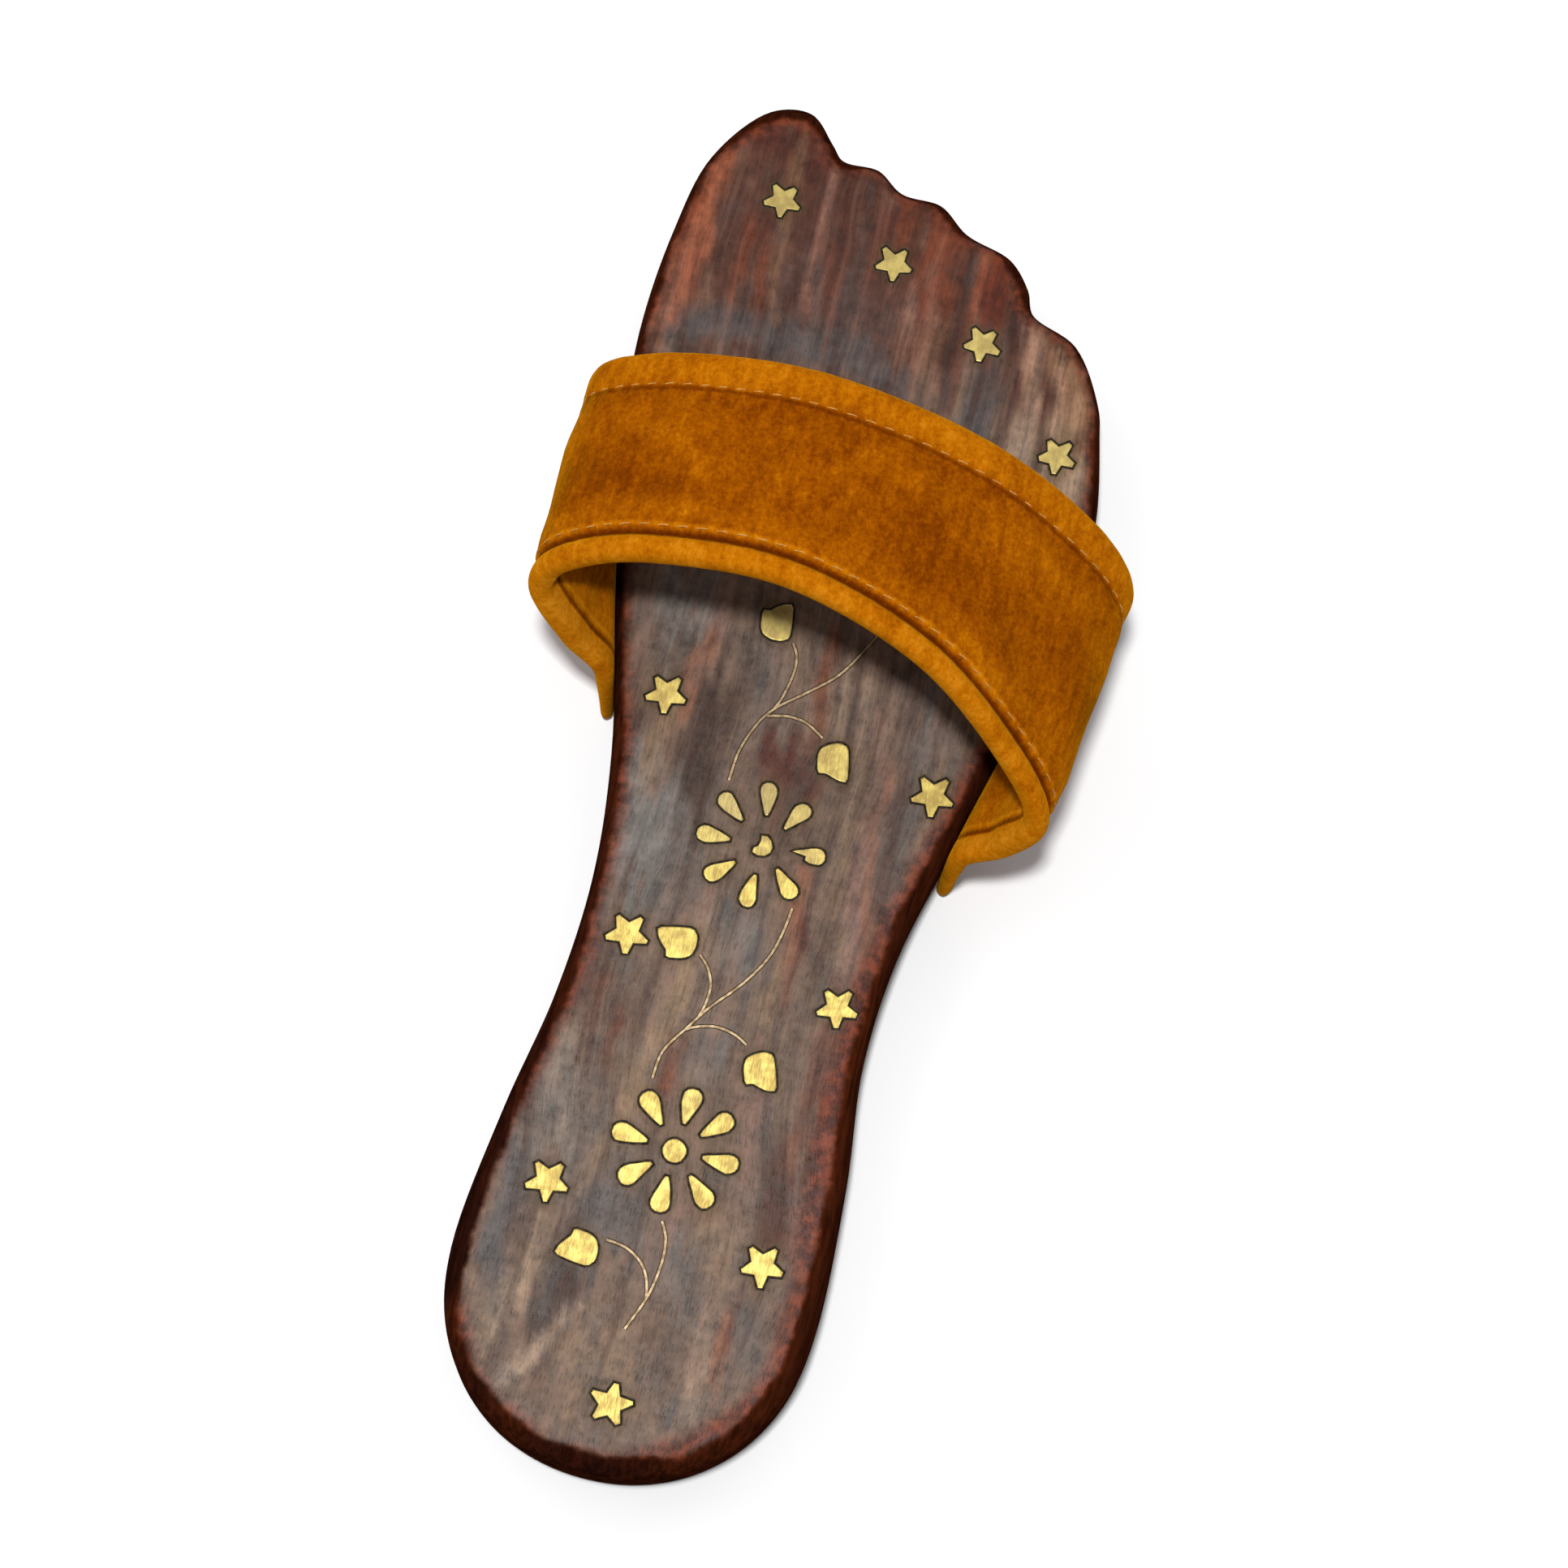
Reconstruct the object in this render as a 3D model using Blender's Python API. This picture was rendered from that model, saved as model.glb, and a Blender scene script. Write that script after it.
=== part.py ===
"""A right-foot paduka: a foot-shaped rosewood sole with brass inlay and one padded cloth strap.

The sole is carved from one plank: heel round, waist narrow, five toes scalloped at the front,
edges rounded, the underside relieved under the arch and lifted a little at the toes.
Stars, petals, dots, buds and wire stems of brass lie flush in pockets cut into the footbed.
The strap is one padded cloth band whose ends stand against the sides of the sole.

Frame: metres, +Z up, +Y towards the toes, +X towards the little toe (lateral side).
The origin is the middle of the heel pad, on the floor.
"""
import math

import bpy
import bmesh
from mathutils import Vector

MM = 0.001
TOUCHING = 1e-7

# ---- driving dimensions (tables below are in millimetres) ---------------------------------
SOLE_THICKNESS = 20.0
TOP_EDGE_RADIUS = 4.0
BOTTOM_EDGE_RADIUS = 3.0
HEEL_HALF_WIDTH = 34.4
HEEL_DEPTH = 34.5
HEEL_SQUARENESS = {-1: 2.15, 1: 2.05}
HEEL_STEPS = 9
INSET_STEP = 0.5
INSET_SMOOTHING = 0.06

ARCH_START, ARCH_END, ARCH_RISE = 40.0, 108.0, 4.0
TOE_LIFT_START, TOE_LIFT_END, TOE_RISE = 190.0, 232.0, 3.0
ARCH_CUTS = 8
TOE_CUTS = 5

CLEARANCE = 0.3
BRASS_THICKNESS = 1.2
WIRE_WIDTH = 0.8
STAR_WAIST = 0.45
DOT_SIDES = 12
PETAL_SIDES = 12
PETAL_TAPER = 1.3
PETAL_FULLNESS = 0.62

STRAP_THICKNESS = 4.5
SECTIONS_PER_ROW = 4
HUG_FADE = 11.0
LINING_INSET = 1.0
LINING_STEPS = 6

# Stations of the sole: distance ahead of the heel's middle, and the x of each side.
SIDES = (
    # along, medial, lateral
    (0.0, -34.4, 34.5),
    (27.5, -31.2, 34.0),
    (50.5, -27.0, 32.0),
    (73.5, -25.4, 34.0),
    (97.5, -27.6, 40.0),
    (130.5, -34.6, 48.4),
    (160.5, -40.4, 52.4),
    (180.5, -42.0, 49.4),
)

# The carved toes, from the great toe to the little toe: crests and the notches between them.
TOES = (
    # place, x, along
    ("great toe side", -40.4, 201.6),
    ("great toe shoulder", -36.6, 218.6),
    ("great toe crest", -27.4, 230.4),
    ("great toe tip", -19.4, 231.8),
    ("great toe end", -14.0, 226.6),
    ("first notch", -11.3, 223.8),
    ("second toe", -4.1, 223.5),
    ("second notch", 1.4, 219.9),
    ("third toe", 9.4, 219.3),
    ("third notch", 15.6, 214.7),
    ("fourth toe", 25.0, 211.6),
    ("fourth toe end", 29.6, 206.4),
    ("fourth notch", 31.6, 201.7),
    ("little toe", 41.1, 197.3),
    ("little toe side", 47.9, 186.3),
)

STARS = (
    # x, along, turn in degrees, radius
    (-20.9, 211.9, 57.0, 3.8),
    (3.0, 204.4, 61.0, 3.8),
    (23.1, 192.4, 56.0, 3.8),
    (42.0, 173.7, 56.0, 3.8),
    (-30.5, 169.5, 58.0, 4.0),
    (-20.1, 110.4, 61.0, 4.0),
    (33.3, 102.8, 60.0, 4.2),
    (-16.4, 63.9, 60.0, 4.2),
    (24.8, 59.1, 63.0, 4.0),
    (-19.9, 15.4, 61.0, 4.2),
    (22.0, 9.2, 62.0, 4.2),
    (0.9, -21.5, 15.0, 4.2),
)

FLOWERS = (
    # name, x, along, dot radius, petal length, petal width
    ("upper", 4.6, 85.7, 1.7, 6.3, 3.2),
    ("lower", 1.5, 26.2, 2.2, 6.7, 3.6),
)

# Where the middle of each petal lies about its dot, cut and set by hand.
PETALS = {
    "upper": (
        # angle in degrees, distance
        (3.4, 8.5), (55.7, 8.5), (98.3, 9.4), (140.7, 9.8),
        (179.4, 9.7), (219.9, 9.2), (266.3, 8.6), (314.1, 7.9),
    ),
    "lower": (
        # angle in degrees, distance
        (0.1, 8.7), (43.1, 9.0), (83.9, 8.7), (129.5, 8.8),
        (173.3, 8.7), (221.5, 8.1), (267.7, 8.3), (314.8, 8.8),
    ),
}

BUDS = (
    # x, along, heading of the tips in degrees, hand: the side of the longer tip, 1 is left
    (-2.8, 128.7, 101.0, -1),
    (13.6, 105.1, -83.0, 1),
    (-6.7, 64.5, 195.0, -1),
    (13.5, 44.4, -77.0, 1),
    (-11.2, 4.9, 167.0, 1),
)

# A bud's outline, from its round base up the side of its longer tip and back.
BUD_OUTLINE = (
    # along the heading, to the left
    (-3.6, 0.9),
    (-2.9, 2.6),
    (0.2, 3.0),
    (4.1, 3.2),
    (3.9, 1.3),
    (3.0, -0.5),
    (2.3, -1.2),
    (2.6, -2.6),
    (-0.6, -2.9),
    (-2.2, -2.5),
    (-3.1, -1.1),
)

STEMS = (
    # name, main stem or branch, waypoints (x, along)
    ("upper", "main", ((17.6, 133.6), (15.3, 128.8), (11.1, 121.8), (6.0, 117.0), (0.8, 112.6),
                       (-1.9, 108.9), (-4.1, 103.0), (-4.7, 96.8))),
    ("middle", "main", ((12.4, 75.6), (11.7, 70.6), (10.1, 65.2), (6.5, 59.4), (1.7, 53.8),
                        (-1.6, 49.0), (-4.9, 43.8), (-5.6, 38.4))),
    ("lower", "main", ((2.3, 13.0), (3.7, 10.0), (4.0, 5.4), (2.9, -1.0), (0.2, -7.7))),
    ("top_bud", "branch", ((1.1, 125.6), (2.3, 123.2), (2.5, 119.9), (1.9, 115.3))),
    ("upper_bud", "branch", ((10.6, 108.9), (7.3, 110.9), (4.0, 111.5), (1.3, 111.1))),
    ("side_bud", "branch", ((-2.3, 63.0), (-0.4, 61.0), (0.9, 57.9), (0.8, 54.4))),
    ("middle_bud", "branch", ((9.9, 48.5), (7.3, 49.9), (3.8, 50.5), (0.5, 49.8))),
    ("lower_bud", "branch", ((-6.8, 7.4), (-3.1, 6.8), (0.2, 4.8), (2.0, 1.9))),
)

# Sections of the strap, from its medial end over the instep to its lateral end: a point of the
# rear edge and one of the front edge on its outer face. Without an x, the section stands
# against the side of the sole.
STRAP_SECTIONS = (
    # place, rear x, rear y, rear z, front x, front y, front z, thickness
    ("medial end", None, 107.0, 2.0, None, 152.5, 2.0, 2.6),
    ("medial wall", None, 107.5, 11.0, None, 153.3, 11.0, 2.9),
    ("medial top", None, 108.9, 20.0, None, 155.2, 20.0, 3.6),
    ("medial rise", -41.0, 112.1, 31.0, -44.6, 158.6, 31.0, 4.5),
    ("medial fold", -48.2, 116.7, 44.0, -46.8, 161.9, 42.0, 4.5),
    ("medial shoulder", -44.0, 120.3, 54.0, -42.2, 163.8, 50.5, 4.5),
    ("crown, medial", -28.0, 123.1, 64.0, -26.3, 165.6, 58.5, 4.5),
    ("crown", -1.0, 122.7, 70.0, -1.7, 165.4, 63.5, 4.5),
    ("crown, lateral", 26.0, 115.3, 65.0, 28.3, 161.5, 59.0, 4.5),
    ("lateral shoulder", 45.5, 103.3, 53.0, 51.4, 153.5, 49.5, 4.5),
    ("lateral fold", 54.0, 94.9, 42.0, 61.2, 146.4, 39.5, 4.5),
    ("lateral rise", 49.2, 91.4, 30.0, 57.2, 142.3, 29.5, 4.5),
    ("lateral top", None, 89.2, 20.0, None, 139.0, 20.0, 3.8),
    ("lateral wall", None, 88.5, 11.0, None, 137.5, 11.0, 3.2),
    ("lateral end", None, 88.1, 2.0, None, 136.9, 2.0, 3.0),
)

# The strap's outer face: rolled edge, groove, welt and padded field behind, then the hem.
STRAP_REAR = (
    # place, ahead of the rear edge, height over the face
    ("rear edge", 0.0, -2.2),
    ("rolled edge", 0.8, -0.5),
    ("rolled edge top", 2.6, 0.1),
    ("groove side", 4.4, -0.2),
    ("groove", 5.2, -1.1),
    ("welt", 6.6, 0.1),
    ("field, rear", 9.5, 0.0),
    ("field", 22.0, 0.5),
)

STRAP_FRONT = (
    # place, behind the front edge, height over the face
    ("field, front", 11.0, 0.1),
    ("stitched dip", 7.2, -0.6),
    ("hem", 4.4, 0.0),
    ("hem edge", 0.9, -0.5),
    ("front edge", 0.0, -2.2),
)


# ---- curves -------------------------------------------------------------------------------
def spline_point(before, start, end, after, t):
    """A point of the curve that runs smoothly from start to end, through all four points."""
    return 0.5 * (
        2.0 * start
        + (end - before) * t
        + (2.0 * before - 5.0 * start + 4.0 * end - after) * t ** 2
        + (3.0 * start - before - 3.0 * end + after) * t ** 3
    )


def chordal_point(before, start, end, after, t):
    """The same, with the spans weighed by their length, so short spans do not overshoot."""
    t0 = 0.0
    t1 = t0 + math.sqrt((start - before).length)
    t2 = t1 + math.sqrt((end - start).length)
    t3 = t2 + math.sqrt((after - end).length)
    t = t1 + (t2 - t1) * t
    a1 = before.lerp(start, (t - t0) / (t1 - t0))
    a2 = start.lerp(end, (t - t1) / (t2 - t1))
    a3 = end.lerp(after, (t - t2) / (t3 - t2))
    b1 = a1.lerp(a2, (t - t0) / (t2 - t0))
    b2 = a2.lerp(a3, (t - t1) / (t3 - t1))
    return b1.lerp(b2, (t - t1) / (t2 - t1))


def closed_curve(points, steps):
    count = len(points)
    curve = []
    for i in range(count):
        span = (points[i - 1], points[i], points[(i + 1) % count], points[(i + 2) % count])
        curve += [chordal_point(*span, k / steps) for k in range(steps)]
    return curve


def open_curve(points, steps):
    last = len(points) - 1
    curve = []
    for i in range(last):
        span = (points[max(i - 1, 0)], points[i], points[i + 1], points[min(i + 2, last)])
        curve += [spline_point(*span, k / steps) for k in range(steps)]
    return curve + [points[last]]


def signed_area(loop):
    return sum(a.cross(b) for a, b in zip(loop, loop[1:] + loop[:1])) / 2.0


def moved_outline(loop, distance):
    """The closed outline with each edge moved outward by a distance (inward below zero)."""
    turn = 1.0 if signed_area(loop) > 0.0 else -1.0
    moved = []
    for before, here, after in zip(loop[-1:] + loop[:-1], loop, loop[1:] + loop[:1]):
        first = (here - before).normalized()
        second = (after - here).normalized()
        out_first = Vector((first.y, -first.x)) * turn
        out_second = Vector((second.y, -second.x)) * turn
        mitre = (out_first + out_second) / (1.0 + out_first.dot(out_second))
        moved.append(here + mitre * distance)
    return moved


# ---- the outline of the sole --------------------------------------------------------------
def heel_points():
    """Points round the back of the heel, from the lateral side to the medial side."""
    points = []
    for k in range(1, HEEL_STEPS):
        angle = math.pi * k / HEEL_STEPS
        across, back = math.cos(angle), math.sin(angle)
        power = 2.0 / HEEL_SQUARENESS[1 if across > 0.0 else -1]
        x = math.copysign(HEEL_HALF_WIDTH * abs(across) ** power, across)
        points.append(Vector((x, -HEEL_DEPTH * back ** power)))
    return points


def sole_outline(steps=3):
    medial = [Vector((x, along)) for along, x, _ in SIDES]
    lateral = [Vector((x, along)) for along, _, x in SIDES]
    toes = [Vector((x, along)) for _, x, along in TOES]
    return closed_curve(medial + toes + lateral[::-1] + heel_points(), steps)


def wall_x(outline, along, side):
    """The x of the sole's outline at a station: side -1 is medial, +1 is lateral."""
    crossings = []
    for a, b in zip(outline, outline[1:] + outline[:1]):
        if (a.y - along) * (b.y - along) <= 0.0 and a.y != b.y:
            crossings.append(a.lerp(b, (along - a.y) / (b.y - a.y)).x)
    return min(crossings) if side < 0 else max(crossings)


def floor_lift(along):
    """How far the underside stands off the floor: the arch, and the lift under the toes."""
    if ARCH_START < along < ARCH_END:
        return ARCH_RISE * math.sin(math.pi * (along - ARCH_START) / (ARCH_END - ARCH_START)) ** 2
    if along > TOE_LIFT_START:
        return TOE_RISE * ((along - TOE_LIFT_START) / (TOE_LIFT_END - TOE_LIFT_START)) ** 2
    return 0.0


# ---- meshes -------------------------------------------------------------------------------
def scaled(point):
    return Vector(point) * MM


def add_object(name, bm, material):
    bmesh.ops.recalc_face_normals(bm, faces=bm.faces)
    mesh = bpy.data.meshes.new(name)
    bm.to_mesh(mesh)
    bm.free()
    mesh.shade_smooth()
    mesh.set_sharp_from_angle(angle=math.radians(35.0))
    mesh.materials.append(material)
    obj = bpy.data.objects.new(name, mesh)
    bpy.context.scene.collection.objects.link(obj)
    return obj


def principled(name, colour, roughness, metallic=0.0):
    material = bpy.data.materials.new(name)
    material.use_nodes = True
    shader = material.node_tree.nodes["Principled BSDF"]
    shader.inputs["Base Color"].default_value = (*colour, 1.0)
    shader.inputs["Roughness"].default_value = roughness
    shader.inputs["Metallic"].default_value = metallic
    material.diffuse_color = (*colour, 1.0)
    return material


def bridge(bm, lower, upper):
    """Quads between two rings of the same number of vertices."""
    for i in range(len(lower)):
        bm.faces.new((lower[i - 1], lower[i], upper[i], upper[i - 1]))


def add_prism(bm, outline, low, high):
    """A plate of a flat outline between two heights."""
    rings = []
    for z in (low, high):
        rings.append([bm.verts.new(scaled((p.x, p.y, z))) for p in outline])
    bridge(bm, *rings)
    bm.faces.new(rings[0][::-1])
    bm.faces.new(rings[1])


def sole_rings(outline):
    """Outlines of the sole with their heights, from the floor up: round, wall, round."""
    rings = []
    for angle in (90.0, 45.0, 0.0):
        inset = BOTTOM_EDGE_RADIUS * (1.0 - math.cos(math.radians(angle)))
        z = BOTTOM_EDGE_RADIUS * (1.0 - math.sin(math.radians(angle)))
        rings.append((inset, z))
    for angle in (0.0, 30.0, 60.0, 90.0):
        inset = TOP_EDGE_RADIUS * (1.0 - math.cos(math.radians(angle)))
        z = SOLE_THICKNESS - TOP_EDGE_RADIUS * (1.0 - math.sin(math.radians(angle)))
        rings.append((inset, z))
    return [(inset_outline(outline, inset), z) for inset, z in rings]


def inset_outline(outline, inset):
    """The outline drawn in by a distance in small steps, so the tight toe crests stay open."""
    count = math.ceil(inset / INSET_STEP)
    for _ in range(count):
        outline = moved_outline(outline, -inset / count)
        neighbours = zip(outline[-1:] + outline[:-1], outline, outline[1:] + outline[:1])
        outline = [here.lerp((before + after) / 2.0, INSET_SMOOTHING)
                   for before, here, after in neighbours]
    return outline


def make_sole(material, cutters):
    outline = sole_outline()
    bm = bmesh.new()
    rings = []
    for ring, z in sole_rings(outline):
        rings.append([bm.verts.new(scaled((p.x, p.y, z))) for p in ring])
    for lower, upper in zip(rings, rings[1:]):
        bridge(bm, lower, upper)
    bottom = bm.faces.new(rings[0][::-1])
    bm.faces.new(rings[-1])

    # Lines across the underside, where its height changes.
    stations = [ARCH_START + (ARCH_END - ARCH_START) * k / ARCH_CUTS for k in range(ARCH_CUTS + 1)]
    stations += [TOE_LIFT_START + (TOE_LIFT_END - TOE_LIFT_START) * k / TOE_CUTS
                 for k in range(TOE_CUTS)]
    underside = [bottom]
    for station in stations:
        edges = {edge for face in underside for edge in face.edges}
        verts = {vert for face in underside for vert in face.verts}
        bmesh.ops.bisect_plane(
            bm, geom=[*verts, *edges, *underside], dist=TOUCHING,
            plane_co=scaled((0.0, station, 0.0)), plane_no=(0.0, 1.0, 0.0))
        underside = [f for f in bm.faces if all(v.co.z < TOUCHING for v in f.verts)]

    # The underside and the lower part of the wall rise together.
    for vert in bm.verts:
        share = 1.0 - vert.co.z / (SOLE_THICKNESS * MM)
        vert.co.z += floor_lift(vert.co.y / MM) * MM * share
    sole = add_object("sole", bm, material)
    for cutter in cutters:
        cut = sole.modifiers.new(cutter.name, "BOOLEAN")
        cut.operation = "DIFFERENCE"
        cut.object = cutter
    return sole


# ---- brass inlay --------------------------------------------------------------------------
def turned(points, angle, x, along):
    """Points turned about their origin and moved to their place on the footbed."""
    c, s = math.cos(angle), math.sin(angle)
    return [Vector((x + c * p[0] - s * p[1], along + s * p[0] + c * p[1])) for p in points]


def star_outline(x, along, turn, radius):
    points = []
    for k in range(10):
        r = radius if k % 2 == 0 else radius * STAR_WAIST
        angle = math.pi * k / 5.0
        points.append((r * math.cos(angle), r * math.sin(angle)))
    return turned(points, math.radians(turn), x, along)


def petal_outline(flower_x, flower_along, angle, distance, length, width):
    """A drop with its point towards the flower's dot and its round end outwards."""
    points = []
    for k in range(PETAL_SIDES):
        t = math.tau * k / PETAL_SIDES
        across = math.sin(t) * math.sin(t / 2.0) ** PETAL_TAPER * width * PETAL_FULLNESS
        points.append((-math.cos(t) * length / 2.0, across))
    angle = math.radians(angle)
    x = flower_x + distance * math.cos(angle)
    along = flower_along + distance * math.sin(angle)
    return turned(points, angle, x, along)


def dot_outline(x, along, radius):
    return [Vector((x + radius * math.cos(math.tau * k / DOT_SIDES),
                    along + radius * math.sin(math.tau * k / DOT_SIDES))) for k in range(DOT_SIDES)]


def bud_outline(x, along, heading, hand):
    points = [(ahead, aside * hand) for ahead, aside in BUD_OUTLINE]
    return turned(points, math.radians(heading), x, along)


def stem_outline(waypoints, width, lengthen=0.0):
    """A ribbon of even width along a smooth route, a little longer at both ends if asked."""
    route = open_curve([Vector(p) for p in waypoints], 3)
    route[0] += (route[0] - route[1]).normalized() * lengthen
    route[-1] += (route[-1] - route[-2]).normalized() * lengthen
    left, right = [], []
    for i, here in enumerate(route):
        ahead = route[min(i + 1, len(route) - 1)] - route[max(i - 1, 0)]
        aside = Vector((-ahead.y, ahead.x)).normalized() * width / 2.0
        left.append(here + aside)
        right.append(here - aside)
    return left + right[::-1]


def inlay_outlines():
    """Every brass piece but the stems: its name and its outline."""
    pieces = [(f"star_{k:02d}", star_outline(*row)) for k, row in enumerate(STARS, 1)]
    for name, x, along, dot, length, width in FLOWERS:
        pieces.append((f"{name}_flower_dot", dot_outline(x, along, dot)))
        for k, (angle, distance) in enumerate(PETALS[name], 1):
            outline = petal_outline(x, along, angle, distance, length, width)
            pieces.append((f"{name}_flower_petal_{k}", outline))
    pieces += [(f"bud_{k}", bud_outline(*row)) for k, row in enumerate(BUDS, 1)]
    return pieces


def make_brass(material):
    """The brass pieces, flush with the footbed."""
    pieces = inlay_outlines()
    pieces += [(f"{name}_stem", stem_outline(route, WIRE_WIDTH)) for name, _, route in STEMS]
    for name, outline in pieces:
        bm = bmesh.new()
        add_prism(bm, outline, SOLE_THICKNESS - BRASS_THICKNESS, SOLE_THICKNESS)
        add_object(name, bm, material)


def make_pockets(material):
    """Cutters for the pockets: each brass outline grown by the clearance."""
    groups = {"inlay_pockets": [moved_outline(o, CLEARANCE) for _, o in inlay_outlines()]}
    for kind in ("main", "branch"):
        groups[f"{kind}_stem_grooves"] = [
            stem_outline(route, WIRE_WIDTH + 2.0 * CLEARANCE, CLEARANCE)
            for _, its_kind, route in STEMS if its_kind == kind]
    cutters = []
    for name, outlines in groups.items():
        bm = bmesh.new()
        for outline in outlines:
            add_prism(bm, outline, SOLE_THICKNESS - BRASS_THICKNESS - CLEARANCE,
                      SOLE_THICKNESS + CLEARANCE)
        cutter = add_object(name, bm, material)
        cutter.hide_render = True
        cutter.display_type = "WIRE"
        cutters.append(cutter)
    return cutters


# ---- strap --------------------------------------------------------------------------------
def strap_rows(outline):
    """Each section's rear point, front point and thickness, the last as a vector of its own."""
    rows = []
    for place, rx, ry, rz, fx, fy, fz, thickness in STRAP_SECTIONS:
        if rx is None:
            side = -1 if place.startswith("medial") else 1
            rx = wall_x(outline, ry, side) + side * (CLEARANCE + thickness)
            fx = wall_x(outline, fy, side) + side * (CLEARANCE + thickness)
        rows.append((Vector((rx, ry, rz)), Vector((fx, fy, fz)), Vector((thickness, 0.0))))
    return rows


def hug(z):
    """How closely the strap follows the sole's side: fully up to the footbed, then less."""
    rise = min(max((z - SOLE_THICKNESS) / HUG_FADE, 0.0), 1.0)
    return 1.0 - rise * rise * (3.0 - 2.0 * rise)


def strap_sections():
    """Rings of points round the strap's wall, one for each fine section."""
    outline = sole_outline(8)
    rears, fronts, walls = (open_curve(row, SECTIONS_PER_ROW) for row in zip(*strap_rows(outline)))
    last = len(rears) - 1
    rings = []
    for i, (rear, front, (thickness, _)) in enumerate(zip(rears, fronts, walls)):
        before, after = max(i - 1, 0), min(i + 1, last)
        run = (rears[after] + fronts[after]) - (rears[before] + fronts[before])
        across = (front - rear).normalized()
        outward = run.cross(across).normalized()
        width = (front - rear).length
        side = -1 if i < last / 2 else 1
        share = thickness / STRAP_THICKNESS
        face = [(ahead, height * share) for _, ahead, height in STRAP_REAR]
        face += [(width - behind, height * share) for _, behind, height in STRAP_FRONT]
        inner = LINING_INSET, width - LINING_INSET
        lining = [(inner[1] + (inner[0] - inner[1]) * k / LINING_STEPS, -thickness)
                  for k in range(LINING_STEPS + 1)]
        ring = []
        for distance, height in face + lining:
            point = rear + across * distance + outward * height
            beside = wall_x(outline, point.y, side) + side * (CLEARANCE + thickness + height)
            point.x += (beside - point.x) * hug(point.z)
            ring.append(point)
        rings.append(ring)
    return rings


def make_strap(material):
    bm = bmesh.new()
    rings = [[bm.verts.new(scaled(p)) for p in ring] for ring in strap_sections()]
    for lower, upper in zip(rings, rings[1:]):
        bridge(bm, lower, upper)
    bm.faces.new(rings[0][::-1])
    bm.faces.new(rings[-1])
    return add_object("strap", bm, material)


def main():
    for obj in list(bpy.data.objects):
        bpy.data.objects.remove(obj, do_unlink=True)
    wood = principled("rosewood", (0.105, 0.062, 0.050), 0.42)
    brass = principled("brass", (0.80, 0.62, 0.24), 0.32, metallic=1.0)
    cloth = principled("ochre_velvet", (0.46, 0.19, 0.012), 0.85)
    cutters = make_pockets(wood)
    make_sole(wood, cutters)
    make_brass(brass)
    make_strap(cloth)


main()
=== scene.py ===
# %% [markdown]
# # A right-foot paduka: rosewood sole, brass inlay, velvet strap
#
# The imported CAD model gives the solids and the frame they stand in. This file builds the finer
# pieces that stand for them: a sole with carved pockets, hand-cut brass with rims of dark lac,
# wire stems that run together, a padded strap with its seams and stitches. Then it gives them
# their finishes. The frame is in metres: +Z up, +Y towards the toes, +X towards the little
# toe, and the origin is the middle of the heel pad on the floor.

# %% Load the frame
import math
import random

import bmesh
import bpy
import numpy as np
from mathutils import Matrix, Vector


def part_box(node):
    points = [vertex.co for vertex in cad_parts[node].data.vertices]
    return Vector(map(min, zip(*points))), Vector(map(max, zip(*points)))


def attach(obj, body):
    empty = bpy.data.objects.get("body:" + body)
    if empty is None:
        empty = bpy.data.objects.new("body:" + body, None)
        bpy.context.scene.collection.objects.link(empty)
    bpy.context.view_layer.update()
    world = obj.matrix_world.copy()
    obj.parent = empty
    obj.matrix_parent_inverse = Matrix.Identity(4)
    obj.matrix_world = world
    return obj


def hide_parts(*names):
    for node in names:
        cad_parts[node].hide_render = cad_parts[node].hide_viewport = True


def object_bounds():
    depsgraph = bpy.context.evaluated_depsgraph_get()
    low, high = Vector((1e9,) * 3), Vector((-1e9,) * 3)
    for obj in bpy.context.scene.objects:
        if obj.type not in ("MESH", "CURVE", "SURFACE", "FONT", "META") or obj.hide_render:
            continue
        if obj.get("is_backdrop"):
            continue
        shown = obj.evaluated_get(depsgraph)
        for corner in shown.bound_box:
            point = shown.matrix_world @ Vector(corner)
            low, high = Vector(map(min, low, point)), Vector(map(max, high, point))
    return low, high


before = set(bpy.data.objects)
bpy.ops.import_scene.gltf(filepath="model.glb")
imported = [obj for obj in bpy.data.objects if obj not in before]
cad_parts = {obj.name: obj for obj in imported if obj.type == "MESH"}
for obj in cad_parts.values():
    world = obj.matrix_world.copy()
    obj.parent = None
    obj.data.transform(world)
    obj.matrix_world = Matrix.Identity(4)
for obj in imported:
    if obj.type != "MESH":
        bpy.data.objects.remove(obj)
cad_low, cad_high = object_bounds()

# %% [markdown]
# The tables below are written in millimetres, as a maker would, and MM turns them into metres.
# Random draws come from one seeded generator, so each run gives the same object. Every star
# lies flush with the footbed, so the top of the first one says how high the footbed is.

MM = 0.001
SEED = 21
chance = random.Random(SEED)
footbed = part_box("star_01")[1].z
print("the footbed is at", round(footbed / MM, 2), "mm")

# %% [markdown]
# An operator works on whatever is selected, as a menu does for a maker at the screen. These
# helpers choose one piece, open it in edit mode, and close it again with its faces outwards.

# %% Choose and edit a piece
def deselect():
    if bpy.context.mode != "OBJECT":
        bpy.ops.object.mode_set(mode="OBJECT")
    bpy.ops.object.select_all(action="DESELECT")


def pick(piece):
    """Makes one piece the selected and active one."""
    deselect()
    piece.select_set(True)
    bpy.context.view_layer.objects.active = piece


def edit(piece, action="SELECT", kind="FACE"):
    """Opens a piece in edit mode, with all of it or nothing selected."""
    pick(piece)
    bpy.ops.object.mode_set(mode="EDIT")
    bpy.ops.mesh.select_mode(type=kind)
    bpy.ops.mesh.select_all(action=action)


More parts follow.
